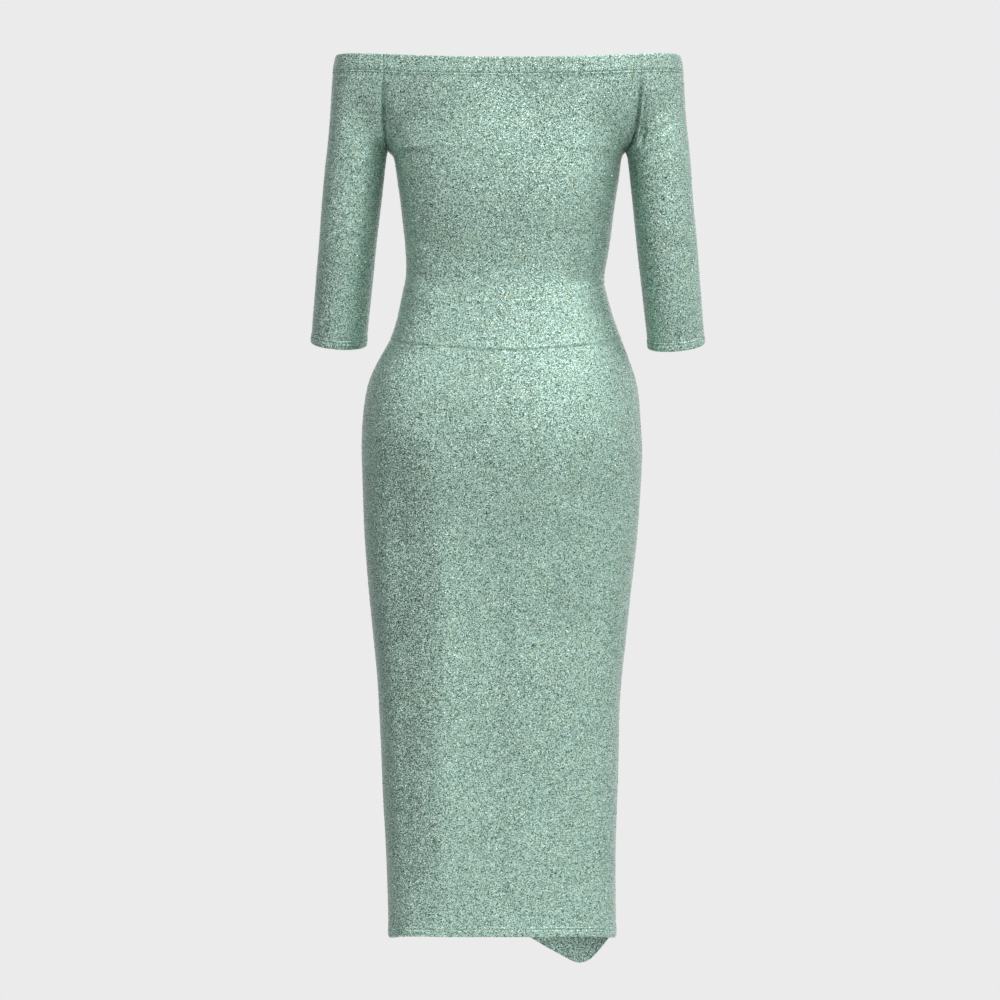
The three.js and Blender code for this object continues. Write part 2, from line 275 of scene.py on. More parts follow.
@dataclass(frozen=True)
class DressCut:
    """The cut of the dress, in millimetres: the surface of every panel as a function of two shares."""

    seam_gap: float = 0.3
    armpit_z: float = -108
    waist_top: Seam = Seam(-274, 23, 14)
    waist_bottom: Seam = Seam(-343.5, 16.5, 10)
    hem_z: float = -1081
    neck_centre: float = 5.3
    neck_half: float = 214.3
    neck_back: float = 92
    neck_front: float = 97
    neck_squareness: float = 2.4
    neck_z: float = 10.8
    neck_dip: float = 10.4
    neck_dip_roundness: float = 3
    armhole_left: float = -149
    armhole_right: float = 170
    armhole_reach: float = 0.25
    shoulder_puff: float = 4.3
    cuff_left: Cuff = Cuff(-346.8, math.radians(4))
    cuff_right: Cuff = Cuff(-349, math.radians(5.5))
    cuff_forward: float = 30
    cuff_lean: float = math.radians(14)
    slit_top_z: float = -880
    slit_angle: float = 0.09
    corner_swing: float = 1
    corner_swing_top: float = -985
    corner_swing_angle: float = 1.15
    evenness: float = 0.115

    def face_angle(self, face: Face, share: Array) -> Array:
        """Angle round the body of a share across a face, with columns spread evenly on the cloth."""
        return face.start + math.pi * share - self.evenness * np.sin(2 * math.pi * share)

    def fold_height(self, face: Face, x: Array, z: Array) -> Array:
        """How far the long folds stand out: the sum of bells across x that fade at both ends.

        Args:
            face: the face of the dress.
            x: distances across the body.
            z: heights.

        Returns:
            The folds' height at each place.
        """
        height = np.zeros(np.broadcast(x, z).shape)
        for label, middle, top, bottom, width, rise in FOLDS:
            if label == face.label:
                ends = smoothstep(top - z, 0, FOLD_FADE) * smoothstep(z - bottom, 0, FOLD_FADE)
                height = height + rise * bell(x - middle, width) * ends
        return height

    def body_point(self, face: Face, angle: Array, z: Array) -> Array:
        """A point of the body: its centre plus the oval's radius in the direction of the angle.

        Args:
            face: the face that the point belongs to.
            angle: directions from +X.
            z: heights.

        Returns:
            The points, with the long folds on them.
        """
        depth = np.where(np.sin(angle) < 0, BODY.at("back", z), BODY.at("front", z))
        radius = oval_radius(angle, BODY.at("half", z), depth, BODY.at("squareness", z))
        x = BODY.at("centre", z) + radius * np.cos(angle)
        y = radius * np.sin(angle) + face.sign * self.seam_gap / 2
        return np.stack([x, y + face.sign * self.fold_height(face, x, z), z + 0 * x], axis=-1)

    def neck_height(self, share: Array) -> Array:
        """Height of the neckline, which dips by the cube of the share of its depth."""
        return self.neck_z - self.neck_dip * np.abs(share) ** self.neck_dip_roundness

    def neck_point(self, face: Face, x: Array) -> Array:
        """A point of the neckline, a squared oval, at a distance across the body.

        The share of its depth is 1 less the share outwards to the power of the squareness, all to
        the power of one over the squareness.

        Args:
            face: the face whose half of the neckline it is.
            x: distances across the body.

        Returns:
            The points.
        """
        outward = np.minimum(np.abs(x - self.neck_centre) / self.neck_half, 1)
        share = (1 - outward**self.neck_squareness) ** (1 / self.neck_squareness)
        depth = self.neck_back if face is Face.BACK else self.neck_front
        return np.stack([x, face.sign * depth * share, self.neck_height(share)], axis=-1)

    def risen(self, low: Array, high: Array, rise: Array, share: Array) -> Array:
        """A point of a wall above the armpit, a share of the way from its foot to the neckline.

        The edges follow a quarter of an oval, the square root of 1 less (1 less rise) squared. The
        middle rises evenly low down and goes with the edges near the neck.

        Args:
            low: the point below, at the armpit or on the body.
            high: the point above, on the neckline.
            rise: share of the way up.
            share: share of the way across.

        Returns:
            The points of the wall.
        """
        armhole = np.sqrt(np.maximum(1 - (1 - rise) ** 2, 0))
        reach = np.maximum(self.armhole_reach * armhole, 1e-6)
        drawn = np.where(rise > 0, bell(np.minimum(share, 1 - share), reach), 0)
        blend = lerp(rise, armhole, lerp(drawn, 1, smoothstep(rise, 0, 1)))[..., None]
        point = lerp(low, high, blend)
        point[..., 2] = lerp(self.armpit_z, high[..., 2], rise)
        return point

    def bodice(self, face: Face, share: Array, down: Array) -> Array:
        """A bodice panel, whose part above the armpits rises from the body to the neckline.

        Args:
            face: the face of the dress.
            share: shares across the panel.
            down: -1 at the neckline, 0 at the armpit and 1 at the waist.

        Returns:
            The points of the panel.
        """
        angle = self.face_angle(face, share)
        foot = self.waist_top.height(face, angle) + self.seam_gap / 2
        below = self.body_point(face, angle, lerp(self.armpit_z, foot, np.maximum(down, 0)))
        across, rise = np.clip(share, 0, 1), np.clip(-down, 0, 1)
        start, end = (self.armhole_left, self.armhole_right)[:: -face.sign]
        high = self.neck_point(face, lerp(start, end, across))
        level = lerp(self.armpit_z, high[..., 2], rise)
        low = self.body_point(face, self.face_angle(face, across), level)
        return np.where((down >= 0)[..., None], below, self.risen(low, high, rise, across))

    def waist(self, face: Face, share: Array, down: Array) -> Array:
        """A waist panel, on the body between the two waist seams.

        Args:
            face: the face of the dress.
            share: shares across the panel.
            down: shares down it.

        Returns:
            The points of the panel.
        """
        angle = self.face_angle(face, share)
        head = self.waist_top.height(face, angle) - self.seam_gap / 2
        foot = self.waist_bottom.height(face, angle) + self.seam_gap / 2
        return self.body_point(face, angle, lerp(head, foot, down))

    def back_skirt(self, share: Array, down: Array) -> Array:
        """The back skirt, on the body from the lower waist seam to the level hem.

        Args:
            share: shares across the panel.
            down: shares down it.

        Returns:
            The points of the panel.
        """
        angle = self.face_angle(Face.BACK, share)
        head = self.waist_bottom.height(Face.BACK, angle) - self.seam_gap / 2
        return self.body_point(Face.BACK, angle, lerp(head, self.hem_z, down))

    def front_skirt(self, share: Array, down: Array) -> Array:
        """The front skirt, whose edge leaves the side seam at the slit and whose corner swings in.

        The angle where it starts opens smoothly from 0 at the slit's top. The swing towards the
        body's middle grows smoothly downwards and fades smoothly with the angle.

        Args:
            share: shares across the panel.
            down: shares down it.

        Returns:
            The points of the panel.
        """
        straight = self.face_angle(Face.FRONT, share)
        head = self.waist_bottom.height(Face.FRONT, straight) - self.seam_gap / 2
        turn = straight / math.pi
        edge_angle = lerp(self.slit_angle, math.pi, turn)
        edge_x = self.body_point(Face.FRONT, edge_angle, np.full_like(edge_angle, self.hem_z))[..., 0]
        z = lerp(head, FRONT_EDGE.at("z", edge_x), down)
        opened = smoothstep(self.slit_top_z - z, 0, self.slit_top_z - self.hem_z) * self.slit_angle
        angle = lerp(opened, math.pi, turn)
        low = smoothstep(self.corner_swing_top - z, 0, self.corner_swing_top - self.hem_z)
        swing = self.corner_swing * low * (1 - smoothstep(angle, 0, self.corner_swing_angle))
        inward = np.stack([swing * np.cos(angle), swing * np.sin(angle), 0 * swing], axis=-1)
        return self.body_point(Face.FRONT, angle, z) - inward

    def sleeve_ring(self, side: Side, share: Array, down: Array) -> Array:
        """A sleeve from the armpit down: rings that start at the seam and lean towards the cuff.

        A ring is the half width times the cosine of the angle and the half depth times the sine.
        It leans and tilts more with the share down, and goes forward with the share's square.

        Args:
            side: the arm.
            share: shares round the arm.
            down: shares down it.

        Returns:
            The points of the rings.
        """
        cuff = self.cuff_left if side is Side.LEFT else self.cuff_right
        angle = (0 if side is Side.LEFT else math.pi) + 2 * math.pi * share
        z = lerp(self.armpit_z, cuff.z, down)
        inner = SLEEVE.at(f"{side.label}_in", z)
        outer = SLEEVE.at(f"{side.label}_out", z)
        across = (outer - inner) / 2 * np.cos(angle)
        deep = SLEEVE.at("depth", z) * np.sin(angle)
        lean, tilt = self.cuff_lean * down, cuff.tilt * down
        x = side.sign * (inner + outer) / 2 + across * np.cos(tilt)
        y = self.cuff_forward * down**2 + deep * np.cos(lean)
        return np.stack([x, y, z + side.sign * across * np.sin(tilt) + deep * np.sin(lean)], axis=-1)

    def sleeve(self, side: Side, share: Array, down: Array) -> Array:
        """A sleeve, whose part above the armpit rises to the arm's part of the neckline.

        Args:
            side: the arm.
            share: shares round it, from the seam.
            down: -1 at the neckline, 0 at the armpit and 1 at the cuff.

        Returns:
            The points of the sleeve.
        """
        below = self.sleeve_ring(side, share, np.maximum(down, 0))
        across, rise = np.clip(share, 0, 1), np.clip(-down, 0, 1)
        left = side is Side.LEFT
        corner = np.asarray(self.armhole_left if left else self.armhole_right, float)
        turns = []
        for face in (Face.FRONT, Face.BACK) if left else (Face.BACK, Face.FRONT):
            point = self.neck_point(face, corner)
            turns.append(math.atan2(point[1], side.sign * (point[0] - self.neck_centre)) * side.sign)
        angle = (math.pi if left else 0) + lerp(turns[0], turns[1], across)
        depth = np.where(np.sin(angle) < 0, self.neck_back, self.neck_front)
        radius = oval_radius(angle, self.neck_half, depth, self.neck_squareness)
        x = self.neck_centre + side.sign * self.seam_gap + radius * np.cos(angle)
        y = radius * np.sin(angle)
        high = np.broadcast_to(np.stack([x, y, self.neck_height(y / depth)], axis=-1), below.shape)
        above = self.risen(self.sleeve_ring(side, across, np.zeros_like(down)), high, rise, across)
        puff = self.shoulder_puff * np.sin(math.pi * rise**2) * np.sin(math.pi * across)
        above[..., 0] += side.sign * puff
        return np.where((down >= 0)[..., None], below, above)


def outward(surface: Surface, share: Array, down: Array) -> Array:
    """Direction that points out of a panel: its fall crossed with its run to the right.

    Both are small differences of the surface. At the armpit, where a wall turns sharply above, the
    fall is taken from the cloth below.

    Args:
        surface: the panel's surface.
        share: shares across the panel.
        down: shares down the panel.

    Returns:
        The directions, with length 1.
    """
    step = 1e-4
    above = np.where(down == 0, 0, down - step)
    right = surface(share + step, down) - surface(share - step, down)
    fall = surface(share, down + step) - surface(share, above)
    return unit(np.cross(fall, right))


@dataclass(frozen=True)
class Crease:
    """A soft trough or ridge in the cloth, on the plane of x and z, in millimetres.

    It runs from start to end and bows sideways as a parabola. Across it is a bell, and it fades at
    both ends over a share of its length. Width is the bell's and height its middle's, below zero for
    a trough.
    """

    start: tuple[float, float]
    end: tuple[float, float]
    width: float
    height: float
    bow: float
    fade: float

    def relief(self, x: Array, z: Array) -> Array:
        """How far the crease stands out at places of the panel.

        Args:
            x: distances across the body.
            z: heights.

        Returns:
            The height of the bell at each place.
        """
        start, end = np.array(self.start), np.array(self.end)
        length = np.linalg.norm(end - start)
        way = (end - start) / length
        along = ((x - start[0]) * way[0] + (z - start[1]) * way[1]) / length
        off = (z - start[1]) * way[0] - (x - start[0]) * way[1]
        off = off - self.bow * 4 * along * (1 - along)
        ends = smoothstep(along, 0, self.fade) * smoothstep(1 - along, 0, self.fade)
        return self.height * bell(off, self.width) * ends


CREASES = {
    # The cloth dips over the spine and folds above the seam
    "back_bodice": (
        Crease((38, 30), (34, -190), 42, -2.2, 4, 0.4),
        Crease((-60, 30), (-52, -150), 38, 1.4, 0, 0.4),
        Crease((-126, -262), (-72, -286), 6, -1.6, 2, 0.4),
        Crease((124, -266), (66, -284), 6, -1.0, -2, 0.4),
        Crease((-110, -226), (-40, -250), 11, -0.8, 4, 0.45),
        Crease((108, -214), (58, -246), 11, -0.7, -5, 0.45),
    ),
    # Hidden in the photograph: drag lines from the sides and above the seam
    "front_bodice": (
        Crease((4, -70), (2, -215), 26, -3.2, 0, 0.45),
        Crease((-122, -150), (-84, -196), 10, -0.9, 4, 0.45),
        Crease((128, -146), (92, -194), 10, -1.0, -4, 0.45),
        Crease((-112, -262), (-50, -280), 7, -1.3, 2, 0.4),
        Crease((116, -260), (58, -280), 7, -1.4, -2, 0.4),
    ),
    # A second crease beside the armhole, small wrinkles fanning out of the armpit, one at the elbow
    "sleeve_right": (
        Crease((177, -44), (167, -116), 2.8, -3.9, 2, 0.3),
        Crease((172, -40), (163, -106), 2.2, 1.5, 2, 0.35),
        Crease((168, -98), (202, -54), 4, -1.7, 3, 0.45),
        Crease((168, -112), (216, -72), 4.5, -2.0, 3, 0.45),
        Crease((170, -128), (212, -104), 5, -1.6, 3, 0.45),
        Crease((176, -222), (238, -238), 9, -0.6, 3, 0.45),
    ),
    "sleeve_left": (
        Crease((-154, -96), (-190, -122), 6, -0.8, -3, 0.45),
        Crease((-156, -116), (-186, -160), 7, -0.8, -3, 0.45),
        Crease((-168, -214), (-226, -232), 9, -0.6, -3, 0.45),
    ),
    # Drawn in at the sides
    "back_waist_panel": (
        Crease((-132, -306), (-88, -318), 7, -1.0, 1, 0.4),
        Crease((134, -304), (98, -314), 7, -0.8, -1, 0.4),
    ),
    "front_waist_panel": (
        Crease((-128, -306), (-80, -316), 7, -0.9, 1, 0.4),
        Crease((130, -306), (84, -318), 7, -0.9, -1, 0.4),
    ),
    # A drag line over the hip, the soft fold under the seat and lengthwise folds
    "back_skirt": (
        Crease((-100, -438), (-12, -444), 7, -0.8, -2, 0.4),
        Crease((34, -520), (120, -524), 11, -1.9, -16, 0.4),
        Crease((-96, -536), (-22, -534), 13, -1.2, -9, 0.45),
        Crease((-126, -392), (-84, -420), 12, -0.8, 4, 0.45),
        Crease((-77, -430), (-72, -1120), 20, 3.6, 2, 0.2),
        Crease((-134, -430), (-122, -1120), 21, -3.9, 2, 0.2),
        Crease((98, -640), (92, -880), 16, -1.0, 2, 0.35),
        Crease((66, -930), (112, -1085), 9, -1.0, 5, 0.4),
    ),
    # Hidden: much the same, and the drag lines from the slit
    "front_skirt": (
        Crease((104, -436), (30, -448), 8, -0.8, 3, 0.4),
        Crease((-104, -446), (-36, -456), 8, -0.8, -3, 0.4),
        Crease((112, -640), (104, -1000), 15, 1.5, -3, 0.3),
        Crease((-98, -660), (-94, -1010), 15, -1.2, 3, 0.3),
        Crease((126, -890), (60, -1040), 10, -1.3, 6, 0.4),
        Crease((118, -960), (76, -1110), 9, 1.2, 5, 0.4),
        Crease((66, -1040), (80, -1180), 15, 3.0, 0, 0.3),
    ),
}


@dataclass(frozen=True)
class Unevenness:
    """Slight waves all over the cloth, in millimetres: a sum of sines in random directions."""

    waves: int = 14
    shortest: float = 55
    longest: float = 190
    height: float = 0.16

    def relief(self, points: Array) -> Array:
        """How far the waves stand out: the sum of the sines, each as high for its length as the others.

        Args:
            points: places on the cloth.

        Returns:
            The relief at each point.
        """
        random = np.random.default_rng(SEED)
        ways = unit(random.normal(size=(self.waves, 3)))
        lengths = random.uniform(self.shortest, self.longest, self.waves)
        starts = random.uniform(0, 2 * math.pi, self.waves)
        phase = points @ ways.T * (2 * math.pi / lengths) + starts
        return (np.sin(phase) * (self.height * lengths / self.longest)).sum(axis=-1)


# Grid lines stand this far apart at least, in millimetres, and even ones keep this share of
# their pitch from the others
CLOSEST_LINES, CLEAR_SHARE = 0.2, 0.4


def spread(length: float, pitch: float, *details: Array) -> Array:
    """Distances from 0 to a length, evenly spaced, with the details' distances put in among them.

    Args:
        length: the last distance.
        pitch: about how far apart the even ones are.
        details: distances that must be there.

    Returns:
        The distances in order, no two closer than a fifth of a millimetre.
    """
    even = np.linspace(0, length, int(round(length / pitch)) + 1)
    fixed = np.unique(np.clip(np.concatenate([np.array([0.0, length]), *details]), 0, length))
    fixed = fixed[np.concatenate([[True], np.diff(fixed) > CLOSEST_LINES])]
    clear = np.abs(even[:, None] - fixed[None, :]).min(axis=1) > pitch * CLEAR_SHARE
    return np.unique(np.concatenate([even[clear], fixed]))


# Distances from a seam, a folded edge and a turning's step at which the grid has a line
SEAM_EDGE = np.array([0.0, 0.45, 0.9, 1.5, 2.3, 3.4, 4.8, 6.6])
FOLDED_EDGE = np.array([0.0, 0.25, 0.6, 1.1, 1.9, 3.0])
TURNING_STEP = np.array([-3.2, -2.4, -1.7, -1.1, -0.5, 0.0, 0.45, 0.9, 1.6, 2.6])
# Angles of the rows above the armpit, in degrees, and how far they keep from the casing's lines
RISE_ANGLES, CLEAR_RISE = np.arange(88, 0, -2.0), 1.2
# The map for baking: the size of a half, its margin, where the inside's half starts, and the
# rims' strips, with the place of the first, the step to the next and their width
BAKE_HALF, BAKE_MARGIN, BAKE_INSIDE = (0.475, 0.99), 0.005, (0.48, 0)
RIM_START, RIM_STEP, RIM_WIDTH = 0.965, 0.008, 0.006


def grid_faces(rows: int, columns: int) -> Array:
    """Four-sided faces of a grid's points, each from its upper left corner to the right and down.

    Args:
        rows: number of rows of points.
        columns: number of points in a row.

    Returns:
        The point numbers, a row for each face.
    """
    index = np.arange(rows * columns).reshape(rows, columns)
    corners = (index[:-1, :-1], index[:-1, 1:], index[1:, 1:], index[1:, :-1])
    return np.stack(corners, axis=-1).reshape(-1, 4)


@dataclass
class ClothGrid:
    """A panel's outer cloth on a grid: rows run down it, columns to the right as seen from outside.

    Across and along are lengths of cloth from the left and top edges, to_right and to_end those to
    the other two.
    """

    shares: Array
    downs: Array
    points: Array
    normals: Array
    inside: Array
    across: Array = field(init=False)
    along: Array = field(init=False)
    to_right: Array = field(init=False)
    to_end: Array = field(init=False)

    def __post_init__(self) -> None:
        """Measures the cloth along its rows and down its columns."""
        over, down = (np.linalg.norm(np.diff(self.points, axis=axis), axis=-1) for axis in (1, 0))
        self.across = np.pad(np.cumsum(over, axis=1), ((0, 0), (1, 0)))
        self.along = np.pad(np.cumsum(down, axis=0), ((1, 0), (0, 0)))
        self.to_right = self.across[:, -1:] - self.across
        self.to_end = self.along[-1:] - self.along

    def sample(self, values: Array, share: Array, down: Array) -> Array:
        """Values at places between the grid's points, straight from one to the next both ways.

        Args:
            values: an array with a value or vector for each row and column.
            share: shares across the panel.
            down: shares down the panel.

        Returns:
            The values at those places.
        """
        c, s = cell(self.shares, share)
        r, d = cell(self.downs, down)
        if values.ndim == 3:
            s, d = s[..., None], d[..., None]
        upper = lerp(values[r, c], values[r, c + 1], s)
        return lerp(upper, lerp(values[r + 1, c], values[r + 1, c + 1], s), d)

    def area(self) -> float:
        """Area of the cloth: the sum of half the cross product of each cell's diagonals.

        Returns:
            The area in square millimetres.
        """
        p = self.points
        crossed = np.cross(p[1:, 1:] - p[:-1, :-1], p[1:, :-1] - p[:-1, 1:])
        return float(np.linalg.norm(crossed, axis=-1).sum() / 2)


def grid_normals(points: Array, ring_from: int) -> Array:
    """Outward directions of a grid: its fall crossed with its run to the right.

    Args:
        points: the grid's points.
        ring_from: the first row whose last column joins its first.

    Returns:
        The directions, with length 1.
    """
    fall, right = np.gradient(points, axis=0), np.gradient(points, axis=1)
    right[ring_from:, 0] = right[ring_from:, -1] = points[ring_from:, 1] - points[ring_from:, -2]
    return unit(np.cross(fall, right))


def linear(colour: str) -> tuple[float, float, float, float]:
    """Turns an sRGB hex colour such as #9dbcaf to linear red, green, blue and an alpha of 1.

    Args:
        colour: the hex colour.

    Returns:
        The four channels.
    """
    channels = np.array([int(colour[i : i + 2], 16) / 255 for i in (1, 3, 5)])
    light = np.where(channels <= 0.04045, channels / 12.92, ((channels + 0.055) / 1.055) ** 2.4)
    return (*(float(v) for v in light), 1.0)


def add_node(
    tree: bpy.types.NodeTree, kind: str, settings: dict | None = None, links: dict | None = None
) -> bpy.types.Node:
    """Adds a node with its settings and links.

    Args:
        tree: the node tree that gets it.
        kind: the node's type, without its ShaderNode prefix.
        settings: values by the name of a property or, where there is none, of an input socket.
        links: output sockets, or nodes for their first ones, by the name or number of the input.

    Returns:
        The node.
    """
    made = tree.nodes.new("ShaderNode" + kind)
    for name, value in (settings or {}).items():
        if isinstance(name, str) and hasattr(made, name):
            setattr(made, name, value)
        else:
            made.inputs[name].default_value = value
    for name, source in (links or {}).items():
        socket = source.outputs[0] if isinstance(source, bpy.types.Node) else source
        tree.links.new(socket, made.inputs[name])
    return made


def set_ramp(ramp: bpy.types.Node, stops: dict[float, str]) -> None:
    """Gives a colour ramp its stops, hex colours by their place.

    Args:
        ramp: the colour ramp's node.
        stops: the colours.
    """
    elements = ramp.color_ramp.elements
    while len(elements) < len(stops):
        elements.new(1.0)
    for element, (place, colour) in zip(elements, sorted(stops.items())):
        element.position, element.color = place, linear(colour)


def new_material(name: str) -> tuple[bpy.types.Material, Callable[..., bpy.types.Node]]:
    """Makes a material with an empty node tree, and the function that adds nodes to it.

    Args:
        name: the material's name.

    Returns:
        The material and the function.
    """
    material = bpy.data.materials.new(name)
    material.use_nodes = True
    material.node_tree.nodes.clear()
    return material, partial(add_node, material.node_tree)


@dataclass(frozen=True)
class GlitterKnit:
    """Polyester jersey knitted with glitter yarn.

    The eye sees a soft sage ground full of light and dark flecks, which shine as small mirrors tilted
    each its own way. The flecks are as large as they show in the photograph. The wales of the knit,
    0.8 mm apart in such cloth, are drawn twice as wide, so that they show from close by. Bands is
    how many waves the wave texture has in a unit of length.
    """

    fleck: float = 0.9 * MM
    cluster: float = 7 * MM
    mottle: float = 60 * MM
    wale: float = 1.6 * MM
    bands: float = 3.2
    tilt: float = 0.42
    loose_tilt: float = 0.95
    metallic: float = 0.53
    sheen: float = 0.12
    stops: tuple[float, ...] = (0.0, 0.14, 0.34, 0.6, 0.84, 1.0)
    flecks: tuple[str, ...] = ("#1d332a", "#4d6f60", "#8fb3a4", "#b1d5c5", "#ceeddf", "#f6fffa")
    gold: str = "#b6c283"

    def material(self) -> bpy.types.Material:
        """Makes the material.

        Returns:
            A material that reads Object coordinates and the piece's own knit map.
        """
        material, add = new_material("polyester_glitter_jersey_knitted")
        place = add("TexCoord").outputs["Object"]
        cells = add("TexVoronoi", {"Scale": 1 / self.fleck}, {"Vector": place}).outputs["Color"]
        parts = add("SeparateColor", {}, {"Color": cells}).outputs
        colours = add("ValToRGB", {}, {"Fac": parts["Red"]})
        set_ramp(colours, dict(zip(self.stops, self.flecks)))
        clusters = add("TexNoise", {"Scale": 1 / self.cluster, "Detail": 2.0}, {"Vector": place})
        gilt = add("Math", {"operation": "MULTIPLY"}, {0: clusters, 1: parts["Green"]})
        gilt = add("MapRange", {"From Min": 0.5, "From Max": 0.56, "To Max": 0.75}, {"Value": gilt})
        golden = add("MixRGB", {"Color2": linear(self.gold)}, {"Fac": gilt, "Color1": colours})
        mottle = add("TexNoise", {"Scale": 1 / self.mottle, "Detail": 3.0}, {"Vector": place})
        limits = {"From Min": 0.3, "From Max": 0.7, "To Min": 0.93, "To Max": 1.06}
        shade = add("MapRange", limits, {"Value": mottle})
        ground = add("VectorMath", {"operation": "SCALE"}, {0: golden, "Scale": shade})
        rough = add("MapRange", {"To Min": 0.38, "To Max": 0.24}, {"Value": parts["Red"]})
        lean = add("VectorMath", {"operation": "SUBTRACT", 1: (0.5, 0.5, 0.5)}, {0: cells})
        # Most flecks lie nearly flat and a few lean far, by the square of a random number
        loose = add("Math", {"operation": "POWER", 1: 2.0}, {0: parts["Green"]})
        reach = add("MapRange", {"To Min": self.tilt, "To Max": self.loose_tilt}, {"Value": loose})
        lean = add("VectorMath", {"operation": "SCALE"}, {0: lean, "Scale": reach})
        lengths = add("UVMap", {"uv_map": KNIT_MAP})
        twist = {"Distortion": 2.0, "Detail": 2.0, "Detail Scale": 6.0}
        wales = add("TexWave", {"Scale": 1 / self.wale / self.bands, **twist}, {"Vector": lengths})
        ribs = add("Bump", {"Strength": 0.1, "Distance": 0.0003}, {"Height": wales.outputs["Fac"]})
        tilted = add("VectorMath", {"operation": "ADD"}, {0: ribs, 1: lean})
        tilted = add("VectorMath", {"operation": "NORMALIZE"}, {0: tilted})
        gloss = {"Metallic": self.metallic, "Sheen Weight": self.sheen, "Sheen Roughness": 0.5}
        shader = add("BsdfPrincipled", gloss, {"Base Color": ground, "Roughness": rough, "Normal": tilted})
        add("OutputMaterial", {}, {"Surface": shader})
        return material


@dataclass(frozen=True)
class MicroSequinFilm:
    """Metallised polyester film, punched into tiny six-sided sequins and fused to the knit.

    Each one has a colour of its own from dark sage to nearly white, and a few are pale gold.
    """

    roughness: float = 0.24
    metallic: float = 0.75
    stops: tuple[float, ...] = (0.0, 0.14, 0.35, 0.7, 0.92, 1.0)
    tones: tuple[str, ...] = ("#2b443b", "#5d8175", "#91b6a7", "#b5d8c9", "#d5f2e5", "#f8fffa")
    gold: str = "#bfca86"

    def material(self) -> bpy.types.Material:
        """Makes the material.

        Returns:
            A material that reads the tone and the gilding of each sequin from its attributes.
        """
        material, add = new_material("metallised_polyester_film_punched_and_fused")
        tone, gilding = (add("Attribute", {"attribute_name": name}) for name in ("tone", "gilding"))
        colours = add("ValToRGB", {}, {"Fac": tone.outputs["Fac"]})
        set_ramp(colours, dict(zip(self.stops, self.tones)))
        links = {"Fac": gilding.outputs["Fac"], "Color1": colours}
        golden = add("MixRGB", {"Color2": linear(self.gold)}, links)
        gloss = {"Metallic": self.metallic, "Roughness": self.roughness}
        shader = add("BsdfPrincipled", gloss, {"Base Color": golden})
        add("OutputMaterial", {}, {"Surface": shader})
        return material


@dataclass(frozen=True)
class SewingThread:
    """Spun polyester thread, two plies twisted together: matt, with a fine slanting ripple.

    Bands is how many slanting waves the wave texture has in a unit of length. The colour carries painted
    shade: where the ripple is low, in the grooves between the plies, it goes darker towards the shade
    colour.
    """

    colour: str = "#86a79a"
    # painted shade: the darker colour that the grooves between the plies get
    shade: str = "#6f8f83"
    ply: float = 0.35 * MM
    bands: float = 6.3

    def material(self) -> bpy.types.Material:
        """Makes the material.

        Returns:
            A material that reads Object coordinates.
        """
        material, add = new_material("polyester_sewing_thread_spun")
        place = add("TexCoord").outputs["Object"]
        slant = {"bands_direction": "DIAGONAL", "Scale": 1 / self.ply / self.bands}
        plies = add("TexWave", slant, {"Vector": place}).outputs["Fac"]
        twist = add("Bump", {"Strength": 0.5, "Distance": 0.0001}, {"Height": plies})
        # Painted shade: the colour darkens with the ripple's low parts, the grooves between the plies
        colour_with_painted_shade = add("ValToRGB", {}, {"Fac": plies})
        set_ramp(colour_with_painted_shade, {0.0: self.shade, 1.0: self.colour})
        matt = {"Roughness": 0.7, "Sheen Weight": 0.1}
        shader = add("BsdfPrincipled", matt, {"Base Color": colour_with_painted_shade, "Normal": twist})
        add("OutputMaterial", {}, {"Surface": shader})
        return material


@dataclass(frozen=True)
class StudioPaint:
    """Matt white paint, rolled on a board: the plain pale floor. Its rim fades away, in metres."""

    colour: str = "#e6e6e6"
    clear: float = 0.75
    rim: float = 1.12

    def material(self) -> bpy.types.Material:
        """Makes the material.

        Returns:
            A material that reads Object coordinates.
        """
        material, add = new_material("white_matt_paint_rolled")
        place = add("TexCoord").outputs["Object"]
        flat = add("VectorMath", {"operation": "MULTIPLY", 1: (1, 1, 0)}, {0: place})
        reach = add("VectorMath", {"operation": "LENGTH"}, {0: flat}).outputs["Value"]
        limits = {"interpolation_type": "SMOOTHSTEP", "From Min": self.clear, "From Max": self.rim}
        fade = add("MapRange", limits, {"Value": reach})
        nap = add("TexNoise", {"Scale": 900.0}, {"Vector": place})
        bump = add("Bump", {"Strength": 0.1, "Distance": 0.0003}, {"Height": nap})
        paint = {"Base Color": linear(self.colour), "Roughness": 0.85}
        shader = add("BsdfPrincipled", paint, {"Normal": bump})
        mixed = add("MixShader", {}, {0: fade, 1: shader, 2: add("BsdfTransparent")})
        add("OutputMaterial", {}, {"Surface": mixed})
        return material


@dataclass(frozen=True)
class StudioBackground:
    """The even pale grey that surrounds the dress in the photograph."""

    colour: str = "#ebebeb"

    def material(self) -> bpy.types.Material:
        """Makes the material.

        Returns:
            A material that shines evenly and reads no coordinates.
        """
        material, add = new_material("pale_grey_background_paper")
        add("OutputMaterial", {}, {"Surface": add("Emission", {"Color": linear(self.colour)})})
        return material


def mesh_object(
    name: str, points: Array, faces: Array, smooth: bool, material: bpy.types.Material
) -> bpy.types.Object:
    """Makes an object from points in millimetres and faces that all have the same number of corners.

    Args:
        name: the object's name.
        points: the points, a row for each.
        faces: point numbers, a row for each face.
        smooth: whether the faces are shaded smooth.
        material: the object's material.

    Returns:
        The object, at the origin and linked to the scene.
    """
    mesh = bpy.data.meshes.new(name)
    count, corners = faces.shape
    mesh.vertices.add(len(points))
    mesh.vertices.foreach_set("co", (points * MM).astype(np.float32).ravel())
    mesh.loops.add(count * corners)
    mesh.loops.foreach_set("vertex_index", faces.astype(np.int32).ravel())
    mesh.polygons.add(count)
    mesh.polygons.foreach_set("loop_start", np.arange(0, count * corners, corners, dtype=np.int32))
    mesh.polygons.foreach_set("use_smooth", np.full(count, smooth))
    mesh.update(calc_edges=True)
    mesh.materials.append(material)
    made = bpy.data.objects.new(name, mesh)
    bpy.context.scene.collection.objects.link(made)
    return made


